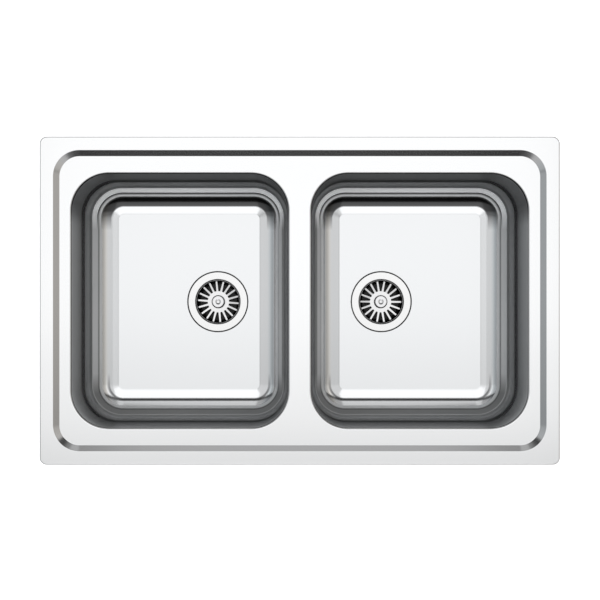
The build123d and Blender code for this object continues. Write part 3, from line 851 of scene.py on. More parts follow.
# ---- the pressed sheet ----
@dataclass(frozen=True)
class Mouth:
    """One bowl's mouth in plan, where the deck starts to bend down, for the right half."""

    centre_x: float = 182.5
    half_x: float = 167.8
    half_y: float = 196.5
    corner: float = 60.0
    run: int = 30  # samples in each straight run
    round: int = 36  # samples in each outer corner
    half_round: int = 16  # samples in each half of an inner corner

    def outline(self) -> Outline:
        """Traces the mouth, anticlockwise from the low end of its outer side.

        Returns:
            The outline.
        """
        outer = self.centre_x + self.half_x
        inner = self.centre_x - self.half_x
        far, near = outer - self.corner, inner + self.corner
        flat = self.half_y - self.corner
        return Outline.of(
            [
                Straight((outer, -flat), (outer, flat), (1, 0), self.run),
                Bend((far, flat), self.corner, 0, 90, self.round),
                Straight((far, self.half_y), (near, self.half_y), (0, 1), self.run),
                Bend((near, flat), self.corner, 90, 135, self.half_round),
                Bend((near, flat), self.corner, 135, 180, self.half_round),
                Straight((inner, flat), (inner, -flat), (-1, 0), self.run),
                Bend((near, -flat), self.corner, 180, 225, self.half_round),
                Bend((near, -flat), self.corner, 225, 270, self.half_round),
                Straight((near, -self.half_y), (far, -self.half_y), (0, -1), self.run),
                Bend((far, -flat), self.corner, 270, 360, self.round),
            ]
        )


@dataclass(frozen=True)
class Pressing:
    """What the panel and the bowls share: the sheet, and the mouths' collars down to the seam."""

    mouth: Mouth
    sheet: float = 1.0
    deck_top: float = 1.0
    collar_bend: float = 3.0
    draft: float = 1.0  # degrees from upright
    seam: float = -8.0


@dataclass(frozen=True)
class DeckPanel(Pressing):
    """The pressed panel: rim, sloping step, sunk deck and the turned down collars of both mouths."""

    half_x: float = 395.0
    half_y: float = 249.2
    corner: float = 11.0
    rim_top: float = 6.0
    rim_edge: float = 2.0
    rim_foot: float = 0.5
    rim_band: float = 20.6
    step_run: float = 9.0
    step_corner: float = 40.0
    step_bend: float = 1.1
    join: float = 30.5  # inset of the line where the two halves' decks meet the rest
    bridge: float = 60.0  # half length of the strip between the bowls, in line with their corners
    bridge_y: float = 160.0
    corner_split: tuple[int, int] = (10, 16)  # samples beside and in each outer corner
    collar_steps: int = 12
    collar_shares: tuple[float, ...] = (0.1, 0.9, 1.0)  # rings down the collar's straight part
    rim_lead: Point = (2.0, 1.5)  # flat rim beyond the step's top, and before the rim's edge
    bend_steps: int = 8
    bend_guard: float = 0.3

    def deck_edge(self, closed: bool) -> Outline:
        """Traces the deck's edge on the right half.

        Args:
            closed: Whether the sink's middle line closes it.

        Returns:
            The outline.
        """
        x, y = self.half_x - self.join, self.half_y - self.join
        radius = self.step_corner + self.rim_band - self.join
        cx, cy = x - radius, y - radius
        run, half, quarter = self.mouth.run, self.mouth.half_round, self.mouth.round
        before = [
            Straight((0, -y), (self.bridge, -y), (0, -1), half),
            Straight((self.bridge, -y), (cx, -y), (0, -1), run),
            Bend((cx, -cy), radius, 270, 360, quarter),
        ]
        after = [
            Straight((x, -cy), (x, cy), (1, 0), run),
            Bend((cx, cy), radius, 0, 90, quarter),
            Straight((cx, y), (self.bridge, y), (0, 1), run),
            Straight((self.bridge, y), (0, y), (0, 1), half),
        ]
        middle = [
            Straight((0, y), (0, self.bridge_y), (0, 0), half),
            Straight((0, self.bridge_y), (0, -self.bridge_y), (0, 0), run),
            Straight((0, -self.bridge_y), (0, -y), (0, 0), half),
        ]
        return Outline.of(after + middle + before) if closed else Outline.of(before + after, False)

    def rim_edge_outline(self) -> Outline:
        """Traces the sink's outline on the right half, sampled to match the deck's edge.

        Returns:
            The open outline.
        """
        x, y = self.half_x, self.half_y
        inset = self.step_corner + self.rim_band
        cx, cy = x - inset, y - inset
        ax, ay = x - self.corner, y - self.corner
        beside, along = self.corner_split
        run, half = self.mouth.run, self.mouth.half_round
        return Outline.of(
            [
                Straight((0, -y), (self.bridge, -y), (0, -1), half),
                Straight((self.bridge, -y), (cx, -y), (0, -1), run),
                Straight((cx, -y), (ax, -y), (0, -1), beside),
                Bend((ax, -ay), self.corner, 270, 360, along),
                Straight((x, -ay), (x, -cy), (1, 0), beside),
                Straight((x, -cy), (x, cy), (1, 0), run),
                Straight((x, cy), (x, ay), (1, 0), beside),
                Bend((ax, ay), self.corner, 0, 90, along),
                Straight((ax, y), (cx, y), (0, 1), beside),
                Straight((cx, y), (self.bridge, y), (0, 1), run),
                Straight((self.bridge, y), (0, y), (0, 1), half),
            ],
            closed=False,
        )

    def collar(self, below: float) -> Array:
        """The collar's profile on one face of the panel.

        It turns down about a point collar_bend under the deck, by 90 degrees less the draft, and
        then runs down the draft to the seam.

        Args:
            below: How far the face lies under the panel's top face.

        Returns:
            Pairs of a distance outwards and a height.
        """
        radius = self.collar_bend - below
        angle = np.radians(np.linspace(0, 90 - self.draft, self.collar_steps + 1))
        hub = self.deck_top - self.collar_bend
        bend = np.stack([-radius * np.sin(angle), hub + radius * np.cos(angle)], axis=1)
        fall = hub + radius * sin(radians(self.draft)) - self.seam
        shares = np.array(self.collar_shares)[:, None]
        drop = shares * np.array([-fall * tan(radians(self.draft)), -fall])
        lead = np.array([[GUARD, self.deck_top - below]])
        return np.concatenate([lead, bend, bend[-1] + drop])

    def step(self, below: float) -> Array:
        """The step's profile, from the deck's edge up to the rim.

        Args:
            below: How far the face lies under the panel's top face.

        Returns:
            Pairs of a distance out from the deck's edge and a height.
        """
        slope = (self.rim_top - self.deck_top, self.step_run)
        shift = below * slope[0] / (float(np.hypot(*slope)) + slope[1])
        foot, top = self.rim_band + self.step_run - shift, self.rim_band - shift
        low, high = self.deck_top - below, self.rim_top - below
        radius = self.step_bend - below / 2
        foot, top = self.join - foot, self.join - top
        corners = [(0.0, low), (foot, low), (top, high), (top + self.rim_lead[0], high)]
        return rounded_path(corners, [radius, radius], self.bend_steps, self.bend_guard)

    def edge(self, below: float) -> Array:
        """The rim's rounded edge, from the flat rim down to its foot.

        Args:
            below: How far the face lies under the panel's top face.

        Returns:
            Pairs of a distance out from the sink's outline and a height.
        """
        high = self.rim_top - below
        corners = [(-self.rim_edge - self.rim_lead[1], high), (-below, high), (-below, self.rim_foot)]
        return rounded_path(corners, [self.rim_edge - below], self.bend_steps, self.bend_guard)

    def skin(self) -> Skin:
        """Joins both faces of the rim and step, and of each half's deck.

        Returns:
            The panel's closed surface.
        """
        skin = Skin()
        deck, rim = self.deck_edge(False).doubled(), self.rim_edge_outline().doubled()
        upper = np.concatenate([deck.carry(self.step(0.0)), rim.carry(self.edge(0.0))])
        lower = np.concatenate([deck.carry(self.step(self.sheet)), rim.carry(self.edge(self.sheet))])
        skin.add_grid(upper)
        skin.add_grid(np.concatenate([upper[-1:], lower[::-1]]), mark=1)
        mouth, edge = self.mouth.outline(), self.deck_edge(True)
        top = np.concatenate([edge.ring(0.0, self.deck_top)[None], mouth.carry(self.collar(0.0))])
        under = [top[-1:], mouth.carry(self.collar(self.sheet))[::-1]]
        under = np.concatenate([*under, edge.ring(0.0, self.deck_top - self.sheet)[None]])
        for side in Side:
            skin.add_grid(side.place(top))
            skin.add_grid(side.place(under), mark=1)
        return skin

    def dress(self) -> None:
        """Makes the panel."""
        finishes = [DECK_STEEL, BACK_STEEL]
        show(self.skin(), "deck_sheet", finishes, "sink", "deck_panel")


@dataclass(frozen=True)
class Bowl(Pressing):
    """One drawn bowl: nearly upright walls, a wide rounded floor edge and the drain's sunk seat.

    The rounded edge ends in a short ramp, so that the flat floor shows a crisp outline.
    """

    floor: float = -164.0
    floor_corner: float = 46.5
    ramp: float = 10.0
    ramp_slope: float = 12.0  # degrees from level
    drain_x: float = 135.3
    recess: float = 50.2
    recess_depth: float = 2.5
    recess_edge: float = 0.8
    hole: float = 44.0
    seat_lead: float = 4.0  # flat floor kept round the seat
    wall_shares: tuple[float, ...] = (0.0, 0.02, 0.25, 0.5, 0.75, 0.98)  # rings down the straight wall
    round_steps: int = 40
    seat_steps: int = 6
    seat_guard: float = 0.2

    def wall(self, outwards: float) -> Array:
        """Works out a wall's profile: down the draft from the seam, round, and down the ramp.

        With the draft's angle a from upright, the ramp's slope s, and the round's radius r, the
        round is r (cos a - sin s) wide and r (cos s - sin a) high.  Its width, and the way in that
        the wall makes over the rest of the height, add up to the floor's inset less the ramp.

        Args:
            outwards: How far the face lies outside the bowl's inner face.

        Returns:
            Pairs of a distance out from the mouth and a height.
        """
        draft, slope = radians(self.draft), radians(self.ramp_slope)
        start = self.collar_bend * tan((pi / 2 - draft) / 2)
        hub = self.deck_top - self.floor - self.floor_corner
        inset = start + hub * tan(draft) + self.floor_corner / cos(draft)
        ramp_top = self.floor + self.ramp * tan(slope)
        free = inset - self.ramp - start - (self.deck_top - ramp_top) * tan(draft)
        radius = free / (cos(draft) - sin(slope) - (cos(slope) - sin(draft)) * tan(draft))
        centre = np.array([self.ramp - inset - radius * sin(slope), ramp_top + radius * cos(slope)])
        angle = np.linspace(draft, pi / 2 - slope, self.round_steps + 1)[:, None]
        reach = radius + outwards
        bend = centre + reach * np.concatenate([np.cos(angle), -np.sin(angle)], axis=1)
        top = (outwards / cos(draft) - start - (self.deck_top - self.seam) * tan(draft), self.seam)
        share = np.array(self.wall_shares)[:, None]
        end = np.array([outwards * tan(slope / 2) - inset, self.floor - outwards])
        down = end - bend[-1]
        down = down / np.linalg.norm(down)
        foot = np.stack([bend[-1] + GUARD * down, end - GUARD * down, end, end - [GUARD, 0.0]])
        return np.concatenate([np.array(top) * (1 - share) + bend[0] * share, bend, foot])

    def seat(self, below: float) -> Array:
        """The sunk seat's profile, from the floor in to the drain's hole.

        Args:
            below: How far the face lies under the bowl's inner face.

        Returns:
            Pairs of a radius and a height.
        """
        wide, top = self.recess + below, self.floor - below
        corners = [
            (wide + self.seat_lead, top),
            (wide, top),
            (wide, top - self.recess_depth),
            (self.hole, top - self.recess_depth),
        ]
        return rounded_path(corners, [self.recess_edge] * 2, self.seat_steps, self.seat_guard)

    def face(self, outwards: float) -> Array:
        """Works out one face of the bowl, from the seam to the drain's hole.

        The rings of the seat have their points in the directions, from the drain's axis, of the
        floor's edge, so that the flat floor is ruled straight between the two.

        Args:
            outwards: How far the face lies outside the bowl's inner face.

        Returns:
            A grid that wraps round.
        """
        wall = self.mouth.outline().carry(self.wall(outwards))
        axis = np.array([self.drain_x, 0.0])
        out = wall[-1, :, :2] - axis
        out = out / np.linalg.norm(out, axis=1, keepdims=True)
        drain = Outline(np.tile(axis, (len(out), 1)), out)
        return np.concatenate([wall, drain.carry(self.seat(outwards))])

    def dress(self, side: Side) -> None:
        """Makes the bowl.

        Args:
            side: The half that it belongs to.
        """
        skin = Skin()
        inner, outer = self.face(0.0), self.face(self.sheet)
        skin.add_grid(side.place(inner))
        skin.add_grid(side.place(np.concatenate([inner[-1:], outer[::-1], inner[:1]])), mark=1)
        name = f"{side.word}_bowl"
        show(skin, f"{name}_sheet", [BOWL_STEEL, BACK_STEEL], "sink", name)


# ---- the drain ----
@dataclass(frozen=True)
class DrainPiece:
    """What the drain's pieces share: they stand on the drain's axis, with heights above the floor."""

    floor: float = -164.0
    drain_x: float = 135.3
    ring_steps: int = 144

    def axis(self, side: Side) -> Point:
        """The drain's place on one side."""
        return (side.value * self.drain_x, 0.0)

    def ring(self, side: Side, profile: Array) -> Array:
        """A closed profile of radius and height above the floor, turned about one side's drain."""
        return turned(profile + np.array([0.0, self.floor]), self.axis(side), self.ring_steps)

    def spread(self, rows: Array, angle: Array) -> Array:
        """A grid about the origin's axis: radius (cos a, sin a), with its own angles in each row."""
        across, height = rows[:, :1], np.broadcast_to(self.floor + rows[:, 1:], angle.shape)
        return np.stack([across * np.cos(angle), across * np.sin(angle), height], axis=-1)


@dataclass(frozen=True)
class StrainerCup(DrainPiece):
    """The steel cup in the bowl's drain, with windows in its bottom."""

    sheet: float = 1.0
    flange: float = 48.5
    flange_top: float = -0.3
    throat: float = 37.0
    foot: float = 34.8
    bottom: float = -28.0
    foot_bend: float = 5.4
    throat_bend: float = 1.2
    window_inner: float = 12.5
    window_outer: float = 25.5
    windows: int = 8
    web: float = 4.0
    hole: float = 3.4
    web_columns: int = 2
    window_columns: int = 9
    window_row: int = 1  # the row of cells from the windows' inner to their outer radius
    bottom_lead: float = 1.0  # flat bottom kept round the windows
    bend_steps: int = 8
    bend_guard: float = 0.3

    def rows(self, below: float) -> Array:
        """The cup's profile from its screw hole to its flange's edge.

        Args:
            below: How far the face lies under the cup's inner face.

        Returns:
            Pairs of a radius and a height.
        """
        top, low = self.flange_top - below, self.bottom - below
        corners = [
            (self.window_outer + self.bottom_lead, low),
            (self.foot + below, low),
            (self.throat + below, top),
            (self.flange, top),
        ]
        radii = [self.foot_bend + below, self.throat_bend - below]
        bends = rounded_path(corners, radii, self.bend_steps, self.bend_guard)
        flat = np.array([(self.hole, low), (self.window_inner, low), (self.window_outer, low)])
        return np.concatenate([flat, bends])

    def columns(self, radius: Array) -> Array:
        """The angle of every column: webs keep their width, windows fill the rest.

        Half a web spans the arc sine of its half width over the radius.

        Args:
            radius: The radius of each row.

        Returns:
            The angles, (rows, columns).
        """
        reach = np.clip(radius, self.window_inner, self.window_outer)[:, None]
        half = np.arcsin(self.web / 2 / reach)
        pitch = 2 * pi / self.windows
        web = half * np.linspace(-1, 0, self.web_columns)
        window = half + (pitch - 2 * half) * np.linspace(0, 1, self.window_columns, endpoint=False)
        sector = np.concatenate([web, window], axis=1)
        return (np.arange(self.windows)[:, None] * pitch + sector[:, None, :]).reshape(len(radius), -1)

    def surface(self, below: float) -> Array:
        """One face of the cup on the right half, as a grid."""
        rows = self.rows(below)
        return self.spread(rows, self.columns(rows[:, 0])) + np.array([self.drain_x, 0.0, 0.0])

    def dress(self, side: Side) -> None:
        """Makes the cup.

        Args:
            side: The half that it belongs to.
        """
        upper, lower = self.surface(0.0), self.surface(self.sheet)
        solid = np.ones((upper.shape[0] - 1, upper.shape[1]), bool)
        column = np.arange(upper.shape[1]) % (self.web_columns + self.window_columns)
        solid[self.window_row, column >= self.web_columns] = False
        skin = Skin()
        skin.add_pierced(side.place(upper), side.place(lower), solid)
        name = f"{side.word}_strainer_cup"
        show(skin, f"{side.word}_cup", [CUP_STEEL], "sink", name)


@dataclass(frozen=True)
class Basket(DrainPiece):
    """The lift-out basket's slotted dish, with a rim of square section round its wall."""

    sheet: float = 0.9
    bore: float = 2.05
    hub: float = 18.0
    hub_top: float = -15.0
    hub_bend: float = 12.0
    rise: float = 1.8
    wall_foot: float = 34.9
    wall_top: float = 35.3
    bend: float = 2.0
    rim_top: float = -2.6
    rim_radius: float = 36.2
    rim_width: float = 1.0
    rim_height: float = 1.8
    rim_edge: float = 0.4
    ribs: int = 18
    rib_inner: float = 3.2
    rib_outer: float = 2.5
    slot_inner: float = 17.6
    slot_top: float = -4.5
    rib_columns: int = 4
    slot_columns: int = 4
    bend_steps: int = 10
    bend_guard: float = 0.2
    rim_steps: int = 5
    rim_guard: float = 0.1

    def rows(self, below: float) -> tuple[Array, int, int]:
        """The dish's profile from its bore to its wall's top.

        Args:
            below: How far the face lies under the dish's inner face.

        Returns:
            Pairs of a radius and a height, and the first row of its slots and the row past them.
        """
        low = self.hub_top - below
        corners = [
            (self.bore, low),
            (self.hub, low),
            (self.wall_foot + below, low + self.rise),
            (self.wall_top + below, self.rim_top - self.rim_height / 2),
        ]
        radii = [self.hub_bend + below, self.bend + below]
        path = rounded_path(corners, radii, self.bend_steps, self.bend_guard)
        first = int(np.searchsorted(path[:, 0], self.slot_inner))
        start = [[self.slot_inner, np.interp(self.slot_inner, path[:, 0], path[:, 1])]]
        end = [[np.interp(self.slot_top, path[:, 1], path[:, 0]), self.slot_top]]
        rows = np.concatenate([path[:first], start, path[first:-1], end, path[-1:]])
        return rows, first, len(path)

    def columns(self, radius: Array, turn: float) -> Array:
        """The angle of every column: ribs taper from hub to wall, slots fill the rest.

        Args:
            radius: The radius of each row.
            turn: Where a rib stands, in degrees from +X.

        Returns:
            The angles, (rows, columns).
        """
        reach = np.clip(radius, self.slot_inner, self.wall_top)[:, None]
        share = (reach - self.slot_inner) / (self.wall_top - self.slot_inner)
        width = self.rib_inner * (1 - share) + self.rib_outer * share
        half = np.arcsin(width / 2 / reach)
        pitch = 2 * pi / self.ribs
        rib = half * np.linspace(-1, 1, self.rib_columns, endpoint=False)
        slot = half + (pitch - 2 * half) * np.linspace(0, 1, self.slot_columns, endpoint=False)
        sector = np.concatenate([rib, slot], axis=1)
        spread = np.arange(self.ribs)[:, None] * pitch + sector[:, None, :]
        return radians(turn) + spread.reshape(len(radius), -1)

    def rim(self) -> Array:
        """The rim's section, a square with its upper edges rounded.

        Returns:
            Pairs of a radius and a height.
        """
        inner, low = self.rim_radius - self.rim_width, self.rim_top - self.rim_height
        corners = [
            (inner, low),
            (inner, self.rim_top),
            (self.rim_radius, self.rim_top),
            (self.rim_radius, low),
        ]
        return rounded_path(corners, [self.rim_edge] * 2, self.rim_steps, self.rim_guard)

    def dress(self, side: Side, turn: float) -> None:
        """Makes the dish.

        Args:
            side: The half that it belongs to.
            turn: Where a rib stands, in degrees from +X.
        """
        centre = np.array([*self.axis(side), 0.0])
        upper, first, last = self.rows(0.0)
        lower, _, _ = self.rows(self.sheet)
        top, under = (self.spread(rows, self.columns(rows[:, 0], turn)) for rows in (upper, lower))
        solid = np.ones((top.shape[0] - 1, top.shape[1]), bool)
        column = np.arange(top.shape[1]) % (self.rib_columns + self.slot_columns)
        solid[first:last, column >= self.rib_columns] = False
        skin = Skin()
        skin.add_pierced(top + centre, under + centre, solid)
        skin.add_grid(self.ring(side, self.rim()), wrap_rows=True)
        name = f"{side.word}_basket"
        show(skin, f"{side.word}_dish", [DISH_STEEL], name, name)


@dataclass(frozen=True)
class Knob(DrainPiece):
    """The basket's round knob, with the dimple that its screw sits in."""

    ring_steps: int = 96
    radius: float = 10.9
    top: float = -6.0
    thickness: float = 3.6
    edge: float = 2.4
    under_edge: float = 0.9
    neck: float = 5.0
    foot: float = -15.0
    dimple: float = 4.7
    dimple_slope: float = 19.0
    well: float = 3.0
    well_depth: float = 1.9
    bore: float = 2.05
    dimple_bends: tuple[float, float, float] = (0.1, 0.15, 0.3)  # at the well's foot and lip, and outside
    neck_bends: tuple[float, float] = (1.0, 0.0)
    bend_steps: int = 12
    bend_guard: float = 0.1

    def dress(self, side: Side) -> None:
        """Makes the knob.

        Args:
            side: The half that it belongs to.
        """
        low, dip = self.top - self.thickness, self.top - self.well_depth
        lip = self.top - (self.dimple - self.well) * tan(radians(self.dimple_slope))
        corners = [
            (self.bore, dip),
            (self.well, dip),
            (self.well, lip),
            (self.dimple, self.top),
            (self.radius, self.top),
            (self.radius, low),
            (self.neck, low),
            (self.neck, self.foot),
            (self.bore, self.foot),
        ]
        radii = [*self.dimple_bends, self.edge, self.under_edge, *self.neck_bends]
        skin = Skin()
        path = rounded_path(corners, radii, self.bend_steps, self.bend_guard)
        skin.add_grid(self.ring(side, path), wrap_rows=True)
        name = side.word
        show(skin, f"{name}_round_knob", [KNOB_CHROME], f"{name}_basket", f"{name}_knob")


@dataclass(frozen=True)
class FlangeGasket(DrainPiece):
    """The black ring that the cup's flange beds on; its edge shows all round the flange."""

    inner: float = 44.6
    bed: float = 48.4
    outer: float = 50.0
    low: float = -2.45
    under_flange: float = -1.32
    lip: float = -0.9
    lip_gap: float = 0.5  # the lip starts this far outside the flange's bed
    bends: tuple[float, ...] = (0.2, 0.0, 0.0, 0.1, 0.3)
    bend_steps: int = 4
    bend_guard: float = 0.05

    def dress(self, side: Side) -> None:
        """Makes the gasket.

        Args:
            side: The half that it belongs to.
        """
        corners = [
            (self.inner, self.low),
            (self.inner, self.under_flange),
            (self.bed, self.under_flange),
            (self.bed + self.lip_gap, self.under_flange),
            (self.bed + self.lip_gap, self.lip),
            (self.outer, self.lip),
            (self.outer, self.low),
        ]
        skin = Skin()
        path = rounded_path(corners, list(self.bends), self.bend_steps, self.bend_guard)
        skin.add_grid(self.ring(side, path), wrap_rows=True)
        name = f"{side.word}_flange_gasket"
        show(skin, f"{name}_ring", [GASKET_RUBBER], "sink", name)


@dataclass(frozen=True)
class WasteBody(DrainPiece):
    """The moulded body under a drain, with gussets, a threaded outlet and a webbed boss."""

    ring_steps: int = 128
    top: float = -5.5
    flange: float = 48.5
    shoulder: float = -9.5
    radius: float = 42.5
    wall: float = 3.0
    cylinder_end: float = -34.0
    cone_end: float = -52.0
    stop_ring: float = 26.5
    stop_ring_end: float = -55.0
    bore: float = 19.8
    outlet_end: float = -77.0
    crest: float = 23.9
    root: float = 22.7
    pitch: float = 2.309  # eleven turns an inch
    plain: float = 2.0  # the thread fades out over this much of either end
    thread_lead: float = 1.0  # plain outlet kept beyond either end of the thread
    rows_a_turn: int = 10
    outer_bends: tuple[float, ...] = (0.6, 0.6, 1.5, 3.0, 0.0, 0.5)
    inner_bends: tuple[float, ...] = (0.5, 2.0, 3.0)
    bend_steps: int = 6
    bend_guard: float = 0.2
    gussets: int = 12
    gusset: float = 2.0
    gusset_drop: float = 14.0
    boss: float = 8.0
    boss_top: float = -30.0
    boss_end: float = -46.0
    insert: float = 4.52
    insert_top: float = -31.0
    insert_end: float = -44.0
    screw_hole: float = 3.4
    boss_steps: int = 48
    web: float = 3.0
    web_overlap: float = 1.0  # how far a web reaches into the boss
    clear: float = 0.2  # what keeps two faces of joined forms from lying in one plane

    def thread(self) -> Array:
        """The outlet's threaded side.

        At height z and angle a the radius is root + (crest - root) f (1 + cos(2 pi z / pitch - a)) / 2
        on a plain cylinder of the root's radius; f falls from 1 to 0 at either end.

        Returns:
            A grid about the origin's axis that wraps round.
        """
        high, low = self.stop_ring_end - self.thread_lead, self.outlet_end + self.thread_lead
        rows = int((high - low) / self.pitch * self.rows_a_turn)
        height = np.linspace(high, low, rows)[:, None]
        angle = np.linspace(0, 2 * pi, self.ring_steps, endpoint=False)
        fade = np.clip(np.minimum(high - height, height - low) / self.plain, 0, 1)
        wave = (1 + np.cos(2 * pi * height / self.pitch - angle)) / 2
        radius = self.root + (self.crest - self.root) * fade * wave
        level = np.broadcast_to(self.floor + height, radius.shape)
        return np.stack([radius * np.cos(angle), radius * np.sin(angle), level], axis=-1)

    def shell(self, side: Side) -> Array:
        """The body's closed wall.

        Args:
            side: The half that it belongs to.

        Returns:
            A grid that wraps round both ways.
        """
        inner, half = self.radius - self.wall, self.wall / 2
        outside = [
            (inner, self.top),
            (self.flange, self.top),
            (self.flange, self.shoulder),
            (self.radius, self.shoulder),
            (self.radius, self.cylinder_end),
            (self.stop_ring, self.cone_end),
            (self.stop_ring, self.stop_ring_end),
            (self.root, self.stop_ring_end),
        ]
        inside = [
            (self.root, self.outlet_end),
            (self.bore, self.outlet_end),
            (self.bore, self.cone_end + half),
            (inner, self.cylinder_end + half),
            (inner, self.top),
        ]
        outside = rounded_path(outside, list(self.outer_bends), self.bend_steps, self.bend_guard)
        inside = rounded_path(inside, list(self.inner_bends), self.bend_steps, self.bend_guard)
        thread = self.thread() + np.array([*self.axis(side), 0.0])
        return np.concatenate([self.ring(side, outside), thread, self.ring(side, inside[:-1])])

    def gusset_at(self, side: Side, angle: float) -> tuple[Array, Array]:
        """The gusset at one angle, which stands under the flange and against the wall.

        Args:
            side: The half that it belongs to.
            angle: Its direction from the drain's axis.

        Returns:
            The corners of one face, (4, 3), and the way to the other.
        """
        sunk = self.radius - self.wall / 2
        out = self.flange - self.gusset / 2
        under = self.shoulder + self.clear
        section = [
            (sunk, under),
            (out, under),
            (out, self.shoulder - self.gusset / 2),
            (sunk, self.shoulder - self.gusset_drop),
        ]
        way, thick = np.array([cos(angle), sin(angle), 0.0]), np.array([-sin(angle), cos(angle), 0.0])
        start = np.array([*self.axis(side), self.floor]) - thick * self.gusset / 2
        return np.array([start + r * way + z * UP for r, z in section]), thick * self.gusset

    def web_at(self, side: Side, way: Array) -> tuple[Array, Array]:
        """The web that joins the boss to the wall in one direction.

        Args:
            side: The half that it belongs to.
            way: Its direction from the drain's axis.

        Returns:
            The corners of one face, (4, 3), and the way to the other.
        """
        thick = self.web * np.array([-way[1], way[0], 0.0])
        start = np.array([*self.axis(side), self.floor + self.cylinder_end]) - thick / 2
        rise = (self.boss_top - self.clear - self.cylinder_end) * UP
        near = start + (self.boss - self.web_overlap) * way
        far = start + (self.radius - self.wall / 2) * way
        return np.array([near, far, far + rise, near + rise]), thick

    def dress(self, side: Side) -> None:
        """Makes the body.

        Args:
            side: The half that it belongs to.
        """
        skin = Skin()
        skin.add_grid(self.shell(side), wrap_rows=True)
        for angle in np.arange(self.gussets) * 2 * pi / self.gussets:
            skin.add_slab(*self.gusset_at(side, angle))
        boss = np.array(
            [
                (self.screw_hole, self.boss_end),
                (self.boss, self.boss_end),
                (self.boss, self.boss_top),
                (self.screw_hole, self.boss_top),
                (self.screw_hole, self.insert_top),
                (self.insert, self.insert_top),
                (self.insert, self.insert_end),
                (self.screw_hole, self.insert_end),
            ]
        )
        boss = turned(boss + np.array([0.0, self.floor]), self.axis(side), self.boss_steps)
        skin.add_grid(boss, wrap_rows=True)
        for way in ((1.0, 0.0, 0.0), (-1.0, 0.0, 0.0), (0.0, 1.0, 0.0), (0.0, -1.0, 0.0)):
            skin.add_slab(*self.web_at(side, np.array(way)))
        name = f"{side.word}_waste_body"
        show(skin, f"{name}_moulding", [WASTE_PLASTIC], "sink", name)


# ---- the studio ----
SKY_LEVEL = 1.375
ACROSS: list[Point] = [  # how bright the sky is at each tilt towards +Y, in degrees from straight up
    (-90.0, 0.80),
    (-71.0, 0.80),
    (-64.0, 0.06),
    (-58.0, 0.03),
    (-48.0, 0.06),
    (-45.5, 0.08),
    (-43.5, 1.00),
    (-12.0, 1.00),
    (-9.0, 0.62),
    (-7.0, 0.68),
    (-6.0, 0.80),
    (-5.0, 0.88),
    (-2.0, 0.90),
    (-1.0, 0.98),
    (0.5, 1.00),
    (31.5, 1.00),
    (33.5, 0.10),
    (42.0, 0.08),
    (45.5, 0.52),
    (60.0, 0.60),
    (90.0, 0.60),
]
ALONG: list[tuple[float, Color]] = [  # the same towards +X, as a colour that multiplies the other
    (-80.0, (0.49, 0.50, 0.51)),
    (-67.0, (0.49, 0.50, 0.51)),
    (-57.0, (0.31, 0.33, 0.34)),
    (-50.0, (0.37, 0.39, 0.40)),
    (-43.0, (0.52, 0.54, 0.55)),
    (-34.0, (0.60, 0.60, 0.60)),
    (-14.9, (0.59, 0.59, 0.59)),
    (-13.3, (1.0, 1.0, 1.0)),
    (13.3, (1.0, 1.0, 1.0)),
    (14.9, (0.57, 0.57, 0.57)),
    (34.0, (0.61, 0.61, 0.61)),
    (43.0, (0.61, 0.59, 0.56)),
    (50.0, (0.45, 0.43, 0.40)),
    (57.0, (0.36, 0.35, 0.33)),
    (67.0, (0.51, 0.50, 0.49)),
    (80.0, (0.51, 0.50, 0.49)),
]


